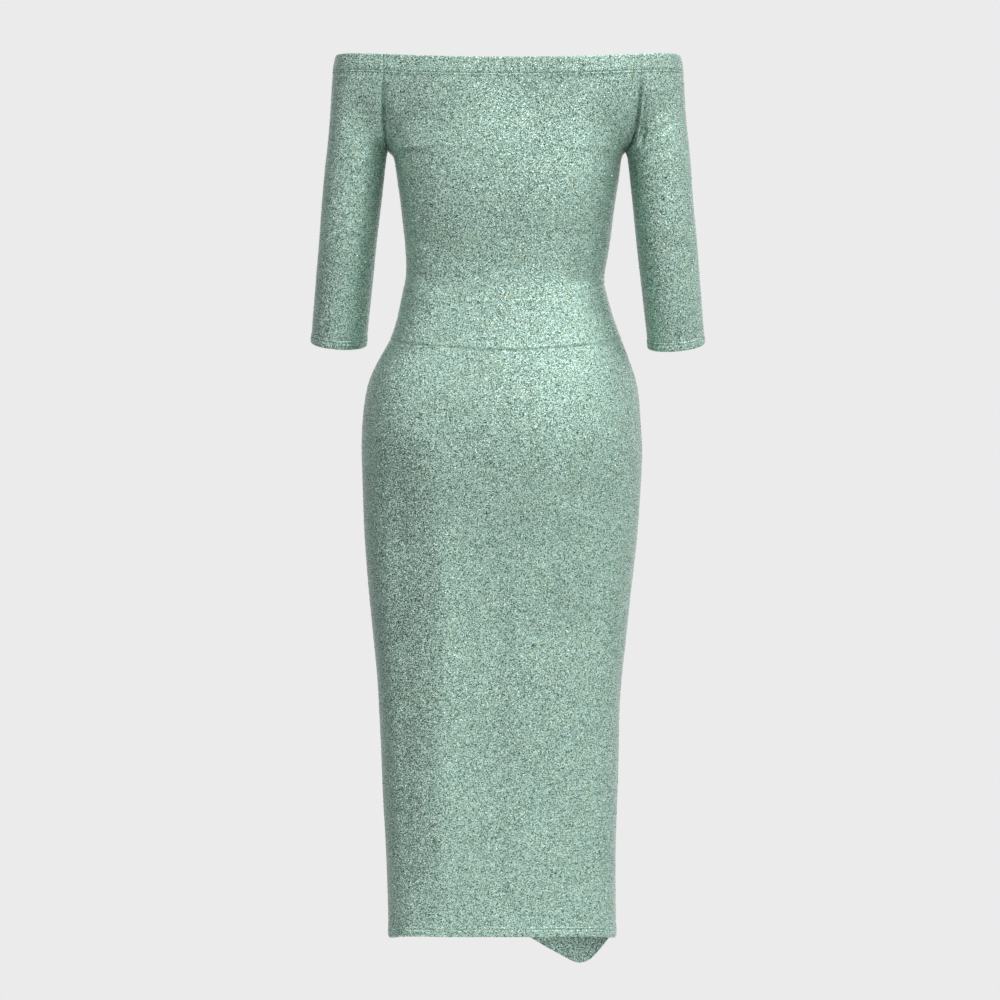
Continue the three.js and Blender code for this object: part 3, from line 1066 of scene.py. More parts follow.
def set_map(made: bpy.types.Object, name: str, places: Array) -> None:
    """Gives an object a UV map with a place for each corner of each face, in order."""
    layer = made.data.uv_layers.new(name=name)
    layer.data.foreach_set("uv", places.astype(np.float32).ravel())


@dataclass(frozen=True)
class Finishes:
    """The materials of the dress, each made once."""

    knit: bpy.types.Material
    sequins: bpy.types.Material
    thread: bpy.types.Material


@dataclass
class SequinSowing:
    """How the micro-sequins lie on the cloth, in millimetres and radians.

    The row shifts are shares of a pitch by which even and odd rows start, and the row ends the
    shares of a row between which sequins lie. Askew is a way that no cloth faces. The golden
    values are shares of gilded sequins, more of them where the patches stand high.
    """

    pitch: float = 2.8
    radius: float = 0.62
    smallest: float = 0.86
    largest: float = 1.08
    lift: float = 0.35
    tilt: float = math.radians(16)
    steepest: float = math.radians(38)
    jitter: float = 0.22
    seam_margin: float = 2.1
    row_shifts: Pair = (0.25, 0.75)
    row_ends: Pair = (0.0005, 0.9995)
    askew: Way = (0.31, 0.22, 0.92)
    golden: float = 0.03
    golden_patch: float = 0.16
    gilding: float = 0.8
    patches: Unevenness = Unevenness(waves=9, shortest=18, longest=60, height=1.0)
    patch_from: float = 1.8

    def places(self, grid: ClothGrid, random: np.random.Generator) -> tuple[Array, Array]:
        """Spreads sequins evenly over a panel, in rows a pitch apart, each moved a little at random.

        A row has as many as its length holds, and every second row is shifted by half a pitch. Places
        along a row are turned from lengths of cloth to shares across the panel.

        Args:
            grid: the panel's cloth.
            random: the source of the small moves.

        Returns:
            Shares across and down the panel.
        """
        fall = grid.along.mean(axis=1)
        room = fall[-1] - 2 * self.seam_margin
        count = int(room / self.pitch)
        row_place = self.seam_margin + (np.arange(count) + 0.5) * room / count
        r, part = cell(grid.downs, np.interp(row_place, fall, grid.downs))
        across = lerp(grid.across[r], grid.across[r + 1], part[:, None])
        width = across[:, -1]
        counts = np.maximum(((width - 2 * self.seam_margin) / self.pitch).astype(int), 1)
        row = np.repeat(np.arange(count), counts)
        number = np.arange(len(row)) - np.repeat(np.cumsum(counts) - counts, counts)
        shift = np.where(row % 2 == 0, *self.row_shifts)
        moved = number + shift + random.uniform(-self.jitter, self.jitter, len(row))
        margin = self.seam_margin / width[row]
        fraction = margin + (1 - 2 * margin) * np.clip(moved / counts[row], *self.row_ends)
        flat_place = (np.arange(count)[:, None] + across / width[:, None]).ravel()
        share = np.interp(row + fraction, flat_place, np.tile(grid.shares, count))
        slide = random.uniform(-self.jitter, self.jitter, len(row)) * self.pitch
        return share, np.interp(row_place[row] + slide, fall, grid.downs)

    def sow(self, name: str, grid: ClothGrid, material: bpy.types.Material) -> bpy.types.Object:
        """Makes one mesh of all the sequins of a panel.

        A sequin is a flat six-sided plate whose corners stand a radius from its middle, at every 60
        degrees from a random turn, in a plane that leans off the cloth by a random angle.

        Args:
            name: the object's name.
            grid: the panel's cloth.
            material: the film's material.

        Returns:
            The object.
        """
        random = np.random.default_rng(SEED + sum(name.encode()))
        share, down = self.places(grid, random)
        middle = grid.sample(grid.points, share, down)
        normal = unit(grid.sample(grid.normals, share, down))
        count = len(share)
        level = unit(np.cross(normal, np.array(self.askew)))
        steep = np.cross(normal, level)
        turn = random.uniform(0, 2 * math.pi, count)[:, None]
        lean = np.minimum(np.abs(random.normal(0, self.tilt, count)), self.steepest)[:, None]
        way = level * np.cos(turn) + steep * np.sin(turn)
        facing = normal * np.cos(lean) + way * np.sin(lean)
        first = unit(np.cross(facing, level))
        second = np.cross(facing, first)
        corner = random.uniform(0, math.pi / 3, count)[:, None] + np.arange(6) * (math.pi / 3)
        radius = self.radius * random.uniform(self.smallest, self.largest, count)[:, None, None]
        flat = np.cos(corner)[..., None] * first[:, None] + np.sin(corner)[..., None] * second[:, None]
        points = (middle[:, None] + normal[:, None] * self.lift + flat * radius).reshape(-1, 3)
        made = mesh_object(name, points, np.arange(count * 6).reshape(-1, 6), False, material)
        size = np.array([grid.across.max(), grid.along.max()]) + 4 * self.radius
        lengths = [grid.sample(values, share, down)[:, None] for values in (grid.across, grid.along)]
        spots = np.stack([np.cos(corner), np.sin(corner)], axis=-1) * self.radius
        set_map(made, BAKE_MAP, (np.stack(lengths, axis=-1) + spots + 2 * self.radius) / size)
        tone = random.uniform(0, 1, count)
        patch = self.patches.relief(middle) > self.patch_from
        gilded = random.uniform(0, 1, count) < np.where(patch, self.golden_patch, self.golden)
        for attribute, values in (("tone", tone), ("gilding", gilded * self.gilding)):
            layer = made.data.attributes.new(attribute, "FLOAT", "FACE")
            layer.data.foreach_set("value", values.astype(np.float32))
        return made


@dataclass
class StitchRow:
    """A row of stitches: small rounded six-sided bars end to end, in millimetres.

    End is the share of half a stitch where its last section lies. Dip and lift are shares of the
    height, and look is how far before and after its middle a stitch takes its direction.
    """

    pitch: float = 3.1
    length: float = 2.5
    width: float = 0.46
    height: float = 0.34
    sides: int = 6
    stations: int = 5
    end: float = 0.97
    dip: float = 0.9
    lift: float = 0.45
    look: float = 0.5

    def bars(self, line: Array, normals: Array) -> tuple[Array, Array]:
        """Lays stitches along a line of points.

        Along a stitch its section grows and shrinks as the square root of 1 less t squared, with t
        from -1 to 1, and its ends dip into the cloth by the fourth power of t.

        Args:
            line: points along the sewing.
            normals: outward directions at those points.

        Returns:
            The points of all the stitches and their faces.
        """
        reach = np.concatenate([[0], np.cumsum(np.linalg.norm(np.diff(line, axis=0), axis=1))])
        count = max(int(reach[-1] / self.pitch), 1)
        place = (np.arange(count) + 0.5) * reach[-1] / count

        def follow(values: Array, ahead: float) -> Array:
            """Values along the line, a distance ahead of each stitch's middle."""
            return np.stack([np.interp(place + ahead, reach, values[:, i]) for i in range(3)], axis=-1)

        up, way = unit(follow(normals, 0)), unit(follow(line, self.look) - follow(line, -self.look))
        t = np.linspace(-self.end, self.end, self.stations)[:, None]
        angle = np.arange(self.sides) * (2 * math.pi / self.sides)
        thick = np.sqrt(1 - t**2)
        sideways = thick * np.cos(angle) * self.width / 2
        upwards = thick * np.sin(angle) * self.height / 2 - self.height * self.dip * t**4
        points = (
            follow(line, 0)[:, None, None]
            + way[:, None, None] * (t * self.length / 2)[None, ..., None]
            + np.cross(up, way)[:, None, None] * sideways[None, ..., None]
            + up[:, None, None] * (upwards + self.height * self.lift)[None, ..., None]
        )
        ring = np.arange(self.sides)
        after = (ring + 1) % self.sides
        body = np.stack([ring, after, after + self.sides, ring + self.sides], axis=-1)
        starts = np.arange(self.stations)[:, None, None] * self.sides
        caps = np.array([[3, 2, 1, 0], [5, 4, 3, 0]]), np.array([[0, 1, 2, 3], [0, 3, 4, 5]]) + starts[-1]
        one = np.concatenate([(body + starts[:-1]).reshape(-1, 4), *caps])
        size = self.stations * self.sides
        faces = (one[None] + (np.arange(count) * size)[:, None, None]).reshape(-1, 4)
        return points.reshape(-1, 3), faces

    def sew(self, name: str, lines: list[Line], material: bpy.types.Material) -> bpy.types.Object:
        """Makes one mesh of the stitches along several lines.

        Args:
            name: the object's name.
            lines: for each line, its points and its outward directions.
            material: the thread's material.

        Returns:
            The object.
        """
        all_points, all_faces, used = [], [], 0
        for line, normals in lines:
            points, faces = self.bars(line, normals)
            all_points.append(points)
            all_faces.append(faces + used)
            used += len(points)
        return mesh_object(name, np.concatenate(all_points), np.concatenate(all_faces), True, material)


@dataclass(frozen=True)
class ArmholeSeam:
    """How an armhole's two panels pull on its seam.

    Depths and widths are in millimetres, and a pair of them holds near the casing and at the armpit.
    The last four are shares down the panel between which a change runs.
    """

    slot: Pair = (0.5, 5.2)
    slot_width: Pair = (1.0, 1.9)
    slope: Pair = (0.3, 2.4)
    slope_width: float = 7
    edge_on: float = 3
    deepens: Pair = (-0.86, -0.44)
    fades: Pair = (-0.02, 0.08)
    starts: Pair = (-0.97, -0.8)
    ends: Pair = (0.0, 0.06)

    def share(self, downs: Array) -> Array:
        """1 where a row ends at an armhole, fading to 0 at the casing and below the armpit."""
        return smoothstep(downs, *self.starts) * (1 - smoothstep(downs, *self.ends))

    def draw(self, grid: ClothGrid) -> Array:
        """Move of the cloth into the dress along an armhole.

        The cloth beside the seam goes inwards along Y as two bells of its distance from the edge: a
        narrow slot and a wide slope. Both get deeper from the casing down to the armpit, then fade.
        Cloth that lies less than about edge_on from the middle of the arm moves less.

        Args:
            grid: the panel's cloth.

        Returns:
            The move of each point.
        """
        down = grid.downs[:, None]
        edge = np.minimum(grid.across, grid.to_right)
        lower = smoothstep(down, *self.deepens)
        fade = 1 - smoothstep(down, *self.fades)
        slot = lerp(*self.slot, lower) * bell(edge, lerp(*self.slot_width, lower))
        slope = lerp(*self.slope, lower) * bell(edge, self.slope_width)
        y = grid.points[..., 1]
        move = np.zeros(grid.points.shape)
        move[..., 1] = -y / (np.abs(y) + self.edge_on) * (slot + slope) * fade
        return move


@dataclass
class Panel:
    """One panel of the dress: its wall of cloth, its glitter and its stitches. Sizes in millimetres.

    Each kind of panel sets its node, its surface and what carries it. Width, height and height above
    the armpits are rough, and only say how many columns and rows the grid has. The sunk and taut
    values at the ends and sides are shares of the seam's depth. Stitched is the shares across
    between which stitches run, and armpit_reach the share down where the two directions mix.
    """

    cut: DressCut
    node: str = ""
    surface: Surface | None = None
    hangs_from: list[str] = field(default_factory=list)
    width: float = 400
    height: float = 100
    height_above: float = 118.8
    column: float = 3.9
    row: float = 3.9
    cloth: float = 1.1
    lining_gap: float = 0.2
    turned: float = 0.85
    seam_sunk: float = 1.1
    seam_width: float = 1.15
    seam_pad: float = 0.15
    pad_place: float = 3.6
    pad_width: float = 2.2
    seam_pull: float = 0.4
    pull_width: float = 0.6
    top_sunk: float = 1
    bottom_sunk: float = 1
    edge_round: float = 0.5
    round_width: float = 0.7
    step: Pair = (-0.2, 1.0)
    stitch_place: float = 1.7
    stitch_sunk: float = 0.8
    stitch_width: float = 0.9
    stitched: Pair = (0.003, 0.997)
    stitch_points: int = 400
    halvings: int = 24
    side_taut: float = 0.25
    side_reach: Pair = (4, 50)
    armhole: ArmholeSeam = ArmholeSeam()
    armpit_reach: float = 0.09
    casing: float = 0
    hem: float = 0
    pucker: float = 0.16
    pucker_pitch: float = 13
    pucker_width: float = 6
    pucker_sway: float = 1.7
    sway_length: float = 31
    ring_from: int = 10**6
    join_reach: float = 0.02

    def risen_rows(self) -> Array:
        """Shares down for the rows above the armpit, from -1 at the neckline.

        The rows follow the armhole's quarter oval, 1 less the cosine of even angles, with more of
        them at the casing's edge and step.

        Returns:
            The shares, all below zero.
        """
        steps = 1 - np.cos(np.radians(RISE_ANGLES))
        details = 1 - np.concatenate([FOLDED_EDGE, self.casing + TURNING_STEP]) / self.height_above
        clear = np.abs(steps[:, None] - details[None, :]).min(axis=1) > CLEAR_RISE / self.height_above
        return -np.sort(np.concatenate([steps[clear], details]))[::-1]

    def lines(self) -> tuple[Array, Array]:
        """Shares across and down the panel where the grid's columns and rows lie.

        Returns:
            The shares across, then the shares down.
        """
        shares = spread(self.width, self.column, SEAM_EDGE, self.width - SEAM_EDGE) / self.width
        edges = [] if self.casing else [SEAM_EDGE]
        if self.hem:
            edges += [self.height - FOLDED_EDGE, self.height - self.hem - TURNING_STEP]
        else:
            edges += [self.height - SEAM_EDGE]
        downs = spread(self.height, self.row, *edges) / self.height
        return shares, np.concatenate([self.risen_rows(), downs]) if self.casing else downs

    def edge_relief(self, grid: ClothGrid) -> Array:
        """Relief beside the panel's edges: seam allowances, folded edges, turnings and their puckers.

        The allowances inside a seam lift the cloth beside it. A turning stands proud as far as its
        height, then steps down smoothly. Beside its stitches the cloth sinks, and puckers as a sine
        along the sewing.

        Args:
            grid: the panel's cloth before the relief.

        Returns:
            The relief at each point of the grid.
        """
        relief = np.zeros(grid.across.shape)
        level = 1 - self.armhole.share(grid.downs)[:, None]
        for edge in (grid.across, grid.to_right):
            relief += self.seam_pad * bell(edge - self.pad_place, self.pad_width) * level
        sway = self.pucker_sway * np.sin(grid.across / self.sway_length)
        wave = np.sin(2 * math.pi * grid.across / self.pucker_pitch + sway)
        for edge, turning in ((grid.along, self.casing), (grid.to_end, self.hem)):
            if turning:
                start, end = (turning + place for place in self.step)
                relief += self.turned * (1 - smoothstep(edge, start, end))
                relief -= self.edge_round * bell(edge, self.round_width)
                relief -= self.stitch_sunk * bell(edge - turning + self.stitch_place, self.stitch_width)
                relief += self.pucker * wave * bell(edge - turning + 1, self.pucker_width)
            else:
                relief += self.seam_pad * bell(edge - self.pad_place, self.pad_width)
        return relief

    def seam_relief(self, grid: ClothGrid) -> Array:
        """Relief of both sides of the cloth at a seam: it sinks as a bell of its distance.

        The waist seams sink less towards the sides, where the cloth is taut.

        Args:
            grid: the panel's cloth before the relief.

        Returns:
            The relief at each point of the grid, nowhere above zero.
        """
        level = 1 - self.armhole.share(grid.downs)[:, None]
        sunk = (bell(grid.across, self.seam_width) + bell(grid.to_right, self.seam_width)) * level
        inwards = smoothstep(np.minimum(grid.across, grid.to_right), *self.side_reach)
        taut = lerp(self.side_taut, 1, inwards)
        ends = ((grid.along, self.casing, self.top_sunk), (grid.to_end, self.hem, self.bottom_sunk))
        for edge, turning, share in ends:
            if not turning:
                sunk = np.maximum(sunk, share * taut * bell(edge, self.seam_width))
        return -self.seam_sunk * sunk

    def moved(self, grid: ClothGrid) -> Array:
        """Moves of the points at the edges towards the next panel, so that each seam is shut.

        Along a seam the edge moves outwards in the cloth's own plane, as a bell of its distance. A
        turned edge and a tube's underarm don't move. An armhole's edges are drawn in as well.

        Args:
            grid: the panel's cloth.

        Returns:
            The move of each point.
        """
        right, fall = (unit(np.gradient(grid.points, axis=axis)) for axis in (1, 0))
        left_pull, right_pull, top_pull, end_pull = (
            bell(edge, self.pull_width)[..., None]
            for edge in (grid.across, grid.to_right, grid.along, grid.to_end)
        )
        open_rows = (np.arange(len(grid.downs)) < self.ring_from)[:, None, None]
        move = self.seam_pull * right * (right_pull - left_pull) * open_rows
        if not self.casing:
            move -= self.seam_pull * fall * top_pull
        if not self.hem:
            move += self.seam_pull * fall * end_pull
        return move + self.armhole.draw(grid) if self.casing else move

    def shown(self, normals: Array) -> Array:
        """Share of a crease that each point gets: all of it on a panel that has one face."""
        return np.ones(normals.shape[:-1])

    def creased(self, points: Array, normals: Array) -> Array:
        """Relief of the panel's creases and of the cloth's slight waves.

        Args:
            points: points of the panel.
            normals: outward directions there.

        Returns:
            The relief at each point.
        """
        relief = Unevenness().relief(points)
        for crease in CREASES[self.node]:
            relief = relief + crease.relief(points[..., 0], points[..., 2]) * self.shown(normals)
        return relief

    def grid(self) -> ClothGrid:
        """Works out the panel's cloth with its relief.

        Returns:
            The outer cloth on its grid.
        """
        shares, downs = self.lines()
        share, down = np.meshgrid(shares, downs)
        base = self.surface(share, down)
        at_armpit = outward(self.surface, share, np.maximum(down, 0))
        above = smoothstep(-down, 0, self.armpit_reach)[..., None]
        normals = unit(lerp(at_armpit, outward(self.surface, share, down), above + (down >= 0)[..., None]))
        plain = ClothGrid(shares, downs, base, normals, base)
        both = self.seam_relief(plain) + self.creased(base, normals)
        relief = self.edge_relief(plain) + both
        ring = slice(self.ring_from, None)
        for values in (relief, both):
            values[ring, 0] = values[ring, -1] = (values[ring, 0] + values[ring, -1]) / 2
        moved = self.moved(plain)
        points = base + normals * relief[..., None] + moved
        inside = base + normals * (both - self.cloth - self.lining_gap)[..., None] + moved
        return ClothGrid(shares, downs, points, grid_normals(points, self.ring_from), inside)

    def wall(self, grid: ClothGrid, material: bpy.types.Material) -> bpy.types.Object:
        """Closes the cloth into a wall: the outer grid, the inner one turned round, and rims.

        Args:
            grid: the outer cloth.
            material: the knit's material.

        Returns:
            The object, with a map of the cloth's own lengths in metres, and one for baking that has
            the outside on its left, the inside on its right and the rims in strips.
        """
        rows, columns = grid.points.shape[:2]
        shift = rows * columns
        outer = np.arange(shift).reshape(rows, columns)
        inner = outer + shift
        cells = grid_faces(rows, columns)
        faces = [
            cells[:, [0, 3, 2, 1]],
            cells + shift,
            np.stack([outer[0, :-1], outer[0, 1:], inner[0, 1:], inner[0, :-1]], axis=-1),
            np.stack([outer[-1, 1:], outer[-1, :-1], inner[-1, :-1], inner[-1, 1:]], axis=-1),
        ]
        open_rows = slice(0, min(self.ring_from, rows - 1))
        for side, order in ((0, 1), (-1, -1)):
            up, low = outer[:-1, side][open_rows], outer[1:, side][open_rows]
            faces.append(np.stack([low, up, up + shift, low + shift][::order], axis=-1))
        size = (grid.across.max(), grid.along.max())
        half = np.stack([grid.across, grid.along], axis=-1).reshape(-1, 2) / size
        half = half * BAKE_HALF + BAKE_MARGIN
        baked = np.concatenate([half, half + BAKE_INSIDE])
        bake_places = [baked[faces[0]], baked[faces[1]]]
        for strip, rim in enumerate(faces[2:]):
            number = rim % shift
            along_rim = number % columns / (columns - 1) if strip < 2 else number // columns / (rows - 1)
            aside = RIM_START + RIM_STEP * strip + RIM_WIDTH * (rim >= shift)
            bake_places.append(np.stack([aside, along_rim], axis=-1))
        points = np.concatenate([grid.points.reshape(-1, 3), grid.inside.reshape(-1, 3)])
        faces = np.concatenate(faces)
        made = mesh_object(self.node + "_cloth", points, faces, True, material)
        lengths = np.stack([grid.across, -grid.along], axis=-1).reshape(-1, 2) * MM
        set_map(made, KNIT_MAP, np.concatenate([lengths, lengths])[faces.ravel()])
        set_map(made, BAKE_MAP, np.concatenate(bake_places))
        if self.ring_from < rows:
            self.join_ring(made)
        return made

    def join_ring(self, made: bpy.types.Object) -> None:
        """Merges the points where the last column of a tube meets its first.

        Args:
            made: the wall.
        """
        work = bmesh.new()
        work.from_mesh(made.data)
        bmesh.ops.remove_doubles(work, verts=work.verts, dist=self.join_reach * MM)
        work.to_mesh(made.data)
        work.free()

    def sewn_lines(self, grid: ClothGrid) -> list[Line]:
        """Lines of topstitching: a little inside the step of each turning.

        Args:
            grid: the panel's cloth.

        Returns:
            For each line, its points and its outward directions.
        """
        found = []
        shares = np.linspace(*self.stitched, self.stitch_points)
        length = grid.sample(grid.along, shares, np.full(len(shares), grid.downs[-1]))
        top, foot = self.casing - self.stitch_place, length - self.hem + self.stitch_place
        for turning, distance in ((self.casing, top), (self.hem, foot)):
            if turning:
                down = self.down_at(grid, shares, distance)
                line = [grid.sample(values, shares, down) for values in (grid.points, grid.normals)]
                found.append(tuple(line))
        return found

    def down_at(self, grid: ClothGrid, shares: Array, distance: Array) -> Array:
        """Share down the panel at a length of cloth below its top edge, by halving steps.

        Args:
            grid: the panel's cloth.
            shares: shares across the panel.
            distance: lengths of cloth from the top.

        Returns:
            The share down for each share across.
        """
        low, high = (np.full(len(shares), grid.downs[end]) for end in (0, -1))
        for _ in range(self.halvings):
            down = (low + high) / 2
            short = grid.sample(grid.along, shares, down) < distance
            low, high = np.where(short, down, low), np.where(short, high, down)
        return down

    def build(self, finishes: Finishes) -> None:
        """Args:
            finishes: the materials.
        """
        grid = self.grid()
        cloth = self.wall(grid, finishes.knit)
        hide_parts(self.node)
        extras = [SequinSowing().sow(self.node + "_glitter", grid, finishes.sequins)]
        lines = self.sewn_lines(grid)
        if lines:
            extras.append(StitchRow().sew(self.node + "_stitches", lines, finishes.thread))
        for piece in (cloth, *extras):
            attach(piece, "root")
        width, length = float(grid.across[:, -1].max()) * MM, float(grid.along[-1].max()) * MM
        area = min(grid.area() * MM * MM, width * length)
        LOG.info("%s: cut %.0f x %.0f mm, %.4f square metres", self.node, width / MM, length / MM, area)
        for piece in (cloth, *extras):
            triangles = sum(len(p.vertices) - 2 for p in piece.data.polygons)
            LOG.info("  %s: %d triangles", piece.name, triangles)


@dataclass
class Bodice(Panel):
    """A bodice panel, from the neckline casing to the upper waist seam."""

    face: Face = Face.BACK
    casing: float = 22
    bottom_sunk: float = 0.3
    column: float = 4.29
    height: float = 180

    def __post_init__(self) -> None:
        """Names the panel and gives it its surface."""
        self.node, self.surface = f"{self.face.label}_bodice", partial(self.cut.bodice, self.face)


@dataclass
class WaistPanel(Panel):
    """A waist panel, between the two curved waist seams."""

    face: Face = Face.BACK
    top_sunk: float = 0.3
    width: float = 390
    column: float = 4.29
    height: float = 66

    def __post_init__(self) -> None:
        """Names the panel and what carries it, and gives it its surface."""
        self.node, self.surface = f"{self.face.label}_waist_panel", partial(self.cut.waist, self.face)
        self.hangs_from = [f"{self.face.label}_bodice_cloth"]


@dataclass
class Skirt(Panel):
    """A skirt panel, from the lower waist seam to the hem.

    It hangs lower than its solid near the hem, by side_drop at the side seams and by level_drop,
    which makes the back's hem look level as in the photograph, a little way from them. Places,
    widths and the edge are distances from the side seams, and the drop starts at drop_from.
    """

    face: Face = Face.BACK
    hem: float = 11
    width: float = 450
    height: float = 737.5
    row: float = 4.68
    side_drop: float = 3
    side_width: float = 45
    level_drop: float = 4
    level_place: float = 40
    level_width: float = 30
    level_edge: float = 12
    drop_from: float = 900

    def __post_init__(self) -> None:
        """Names the panel and what carries it, and gives it its surface."""
        self.node = f"{self.face.label}_skirt"
        self.surface = self.cut.back_skirt if self.face is Face.BACK else self.cut.front_skirt
        self.hangs_from = [f"{self.face.label}_waist_panel_cloth"]

    def moved(self, grid: ClothGrid) -> Array:
        """Adds the drop near the hem: a bell at the side seams and one a little way from them.

        Args:
            grid: the panel's cloth.

        Returns:
            The move of each point.
        """
        near = np.minimum(grid.across, grid.to_right)
        drop = self.side_drop * bell(near, self.side_width)
        if self.face is Face.BACK:
            level = self.level_drop * bell(near - self.level_place, self.level_width)
            drop = drop + level * smoothstep(near, 0, self.level_edge)
        move = super().moved(grid)
        move[..., 2] -= smoothstep(-grid.points[..., 2], self.drop_from, -self.cut.hem_z) * drop
        return move


@dataclass
class Sleeve(Panel):
    """A sleeve: open at the armhole above the armpit, and a closed tube from there to the cuff.

    Front_share is how much of a crease shows in front, and facing how far along Y the cloth's
    direction has to point to count as front or back in full.
    """

    side: Side = Side.LEFT
    casing: float = 22
    hem: float = 10
    width: float = 260
    column: float = 2.925
    height: float = 240
    front_share: float = 0.6
    facing: float = 0.35

    def __post_init__(self) -> None:
        """Names the sleeve, gives it its surface and notes the first row that is a closed ring."""
        self.node, self.surface = f"sleeve_{self.side.label}", partial(self.cut.sleeve, self.side)
        self.ring_from = len(self.risen_rows())

    def shown(self, normals: Array) -> Array:
        """Share of a crease that each point gets: all of it at the back and a part of it in front."""
        back, front = (smoothstep(sign * normals[..., 1], 0, self.facing) for sign in (-1, 1))
        return back + self.front_share * front


@dataclass(frozen=True)
class SoftLight:
    """A square soft light that looks at the neckline, in metres and watts."""

    name: str
    way: Way
    distance: float
    size: float
    power: float

    def make(self) -> None:
        """Makes the light, a distance away from the neckline, unseen by the camera."""
        data = bpy.data.lights.new(self.name, "AREA")
        data.shape, data.size, data.energy = "SQUARE", self.size, self.power
        made = bpy.data.objects.new(self.name, data)
        towards = Vector(self.way).normalized()
        made.location = towards * self.distance
        made.rotation_euler = towards.to_track_quat("Z", "Y").to_euler()
        made.visible_camera = False
        bpy.context.scene.collection.objects.link(made)


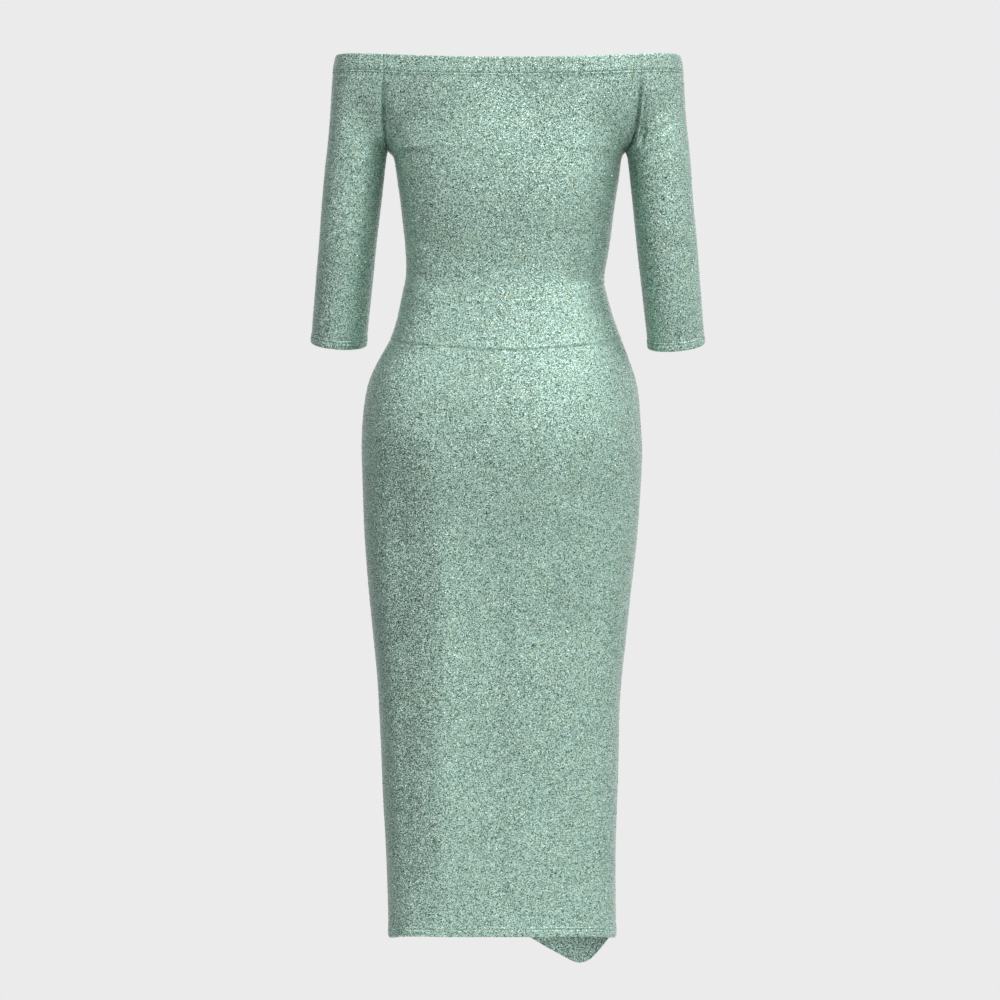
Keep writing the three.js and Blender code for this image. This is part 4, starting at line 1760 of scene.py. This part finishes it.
@dataclass
class Studio:
    """The plain pale surroundings, the soft lights and the camera, in metres.

    The two pairs that start with turns are cosines between which the air gets brighter. Low and
    high share are its strengths at heights of level_reach below and above the level. Far is the
    background's radius, with its rows and columns and the angle up to which it rises.
    """

    distance: float = 5.0
    across: float = -0.005
    camera_z: float = -0.54375
    view_width: float = 1.25
    sensor: float = 36.0
    floor_z: float = -1.33
    floor_radius: float = 1.15
    floor_lines: int = 41
    air: str = "#fbfdff"
    bright_way: Way = (0.83, -0.44, 0.34)
    bright: float = 0.82
    dim: float = 0.15
    turns_bright: Pair = (-0.46, -0.22)
    turns_pale: Pair = (0.5, 0.95)
    pale_share: float = 0.6
    level_reach: float = 0.6
    low_share: float = 0.6
    high_share: float = 1.4
    far: float = 30
    far_lines: tuple[int, int] = (25, 49)
    far_rise: float = 1.57
    key: SoftLight = SoftLight("key_light", (0.66, -0.5, 0.56), 2.2, 2.2, 18)
    fill: SoftLight = SoftLight("fill_light", (-0.93, -0.36, 0.06), 1.15, 0.9, 1.3)

    def make_camera(self) -> None:
        """Makes the camera at the photograph's viewing angle: level, looking along +Y."""
        data = bpy.data.cameras.new("camera")
        data.sensor_width = self.sensor
        data.lens = self.sensor * self.distance / self.view_width
        made = bpy.data.objects.new("camera", data)
        made.location = (self.across, -self.distance, self.camera_z)
        made.rotation_euler = (math.pi / 2, 0, 0)
        bpy.context.scene.collection.objects.link(made)
        bpy.context.scene.camera = made

    def make_world(self) -> None:
        """Makes the soft light from all round: bright from the right in front, dim from the left.

        Its strength rises smoothly with the cosine of the angle from the bright way, and again
        straight behind the dress, where a studio has its pale backdrop. All of it gets stronger
        from low to high, evenly with the height of the direction.
        """
        world = bpy.data.worlds.new("studio_air")
        world.use_nodes = True
        world.node_tree.nodes.clear()
        add = partial(add_node, world.node_tree)
        smooth = {"interpolation_type": "SMOOTHSTEP"}
        way = add("TexCoord").outputs["Generated"]
        facing = add("VectorMath", {"operation": "DOT_PRODUCT", 1: self.bright_way}, {0: way})
        limits = dict(zip(("From Min", "From Max"), self.turns_bright))
        lit = add("MapRange", smooth | limits, {"Value": facing.outputs["Value"]})
        behind = add("SeparateXYZ", {}, {0: way}).outputs
        limits = dict(zip(("From Min", "From Max"), self.turns_pale), **{"To Max": self.pale_share})
        backdrop = add("MapRange", smooth | limits, {"Value": behind["Y"]})
        both = add("Math", {"operation": "MAXIMUM"}, {0: lit, 1: backdrop})
        strength = add("MapRange", {"To Min": self.dim, "To Max": self.bright}, {"Value": both})
        limits = {"From Min": -self.level_reach, "From Max": self.level_reach}
        limits |= {"To Min": self.low_share, "To Max": self.high_share}
        height = add("MapRange", limits, {"Value": behind["Z"]})
        raised = add("Math", {"operation": "MULTIPLY"}, {0: strength, 1: height})
        shade = add("Background", {"Color": linear(self.air)}, {"Strength": raised})
        add("OutputWorld", {}, {"Surface": shade})
        bpy.context.scene.world = world

    def make_floor(self) -> bpy.types.Object:
        """Makes the pale floor under the dress: a square grid rounded to a disc.

        Across and deep run from -1 to 1. Each is times the square root of 1 less half the other's
        square, which turns the square's sides into the disc's rim.

        Returns:
            The floor.
        """
        line = np.linspace(-1, 1, self.floor_lines)
        across, deep = np.meshgrid(line, line)
        x = self.floor_radius * across * np.sqrt(1 - deep**2 / 2)
        y = self.floor_radius * deep * np.sqrt(1 - across**2 / 2)
        points = np.stack([x, y, 0 * x + self.floor_z], axis=-1).reshape(-1, 3) / MM
        faces = grid_faces(self.floor_lines, self.floor_lines)
        return mesh_object("studio_floor", points, faces, False, StudioPaint().material())

    def make_background(self) -> bpy.types.Object:
        """Makes the even background that only the camera sees: a sphere by longitude and latitude.

        Returns:
            The sphere.
        """
        rows, columns = self.far_lines
        rises = np.linspace(-self.far_rise, self.far_rise, rows)
        turn, rise = np.meshgrid(np.linspace(0, 2 * math.pi, columns), rises)
        points = np.stack([np.cos(turn) * np.cos(rise), np.sin(turn) * np.cos(rise), np.sin(rise)], axis=-1)
        far, paper = points.reshape(-1, 3) * self.far / MM, StudioBackground().material()
        made = mesh_object("studio_background", far, grid_faces(rows, columns), True, paper)
        made.visible_diffuse = made.visible_glossy = made.visible_transmission = False
        made.visible_volume_scatter = made.visible_shadow = False
        return made

    def build(self) -> None:
        """Sets up the studio."""
        self.make_camera()
        self.make_world()
        self.key.make()
        self.fill.make()
        self.make_floor()
        self.make_background()
        bpy.context.scene.view_settings.view_transform = "Standard"


def main() -> None:
    """Builds the studio and the dress, panel by panel, and notes its size."""
    logging.basicConfig(level=logging.INFO, format="%(message)s")
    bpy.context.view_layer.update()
    Studio().build()
    finishes = Finishes(GlitterKnit().material(), MicroSequinFilm().material(), SewingThread().material())
    cut = DressCut()
    panels = [Bodice(cut, face=face) for face in Face]
    panels += [Sleeve(cut, side=side) for side in Side]
    panels += [WaistPanel(cut, face=face) for face in Face]
    panels += [Skirt(cut, face=face) for face in Face]
    for panel in panels:
        panel.build(finishes)


if __name__ == "__main__":
    main()
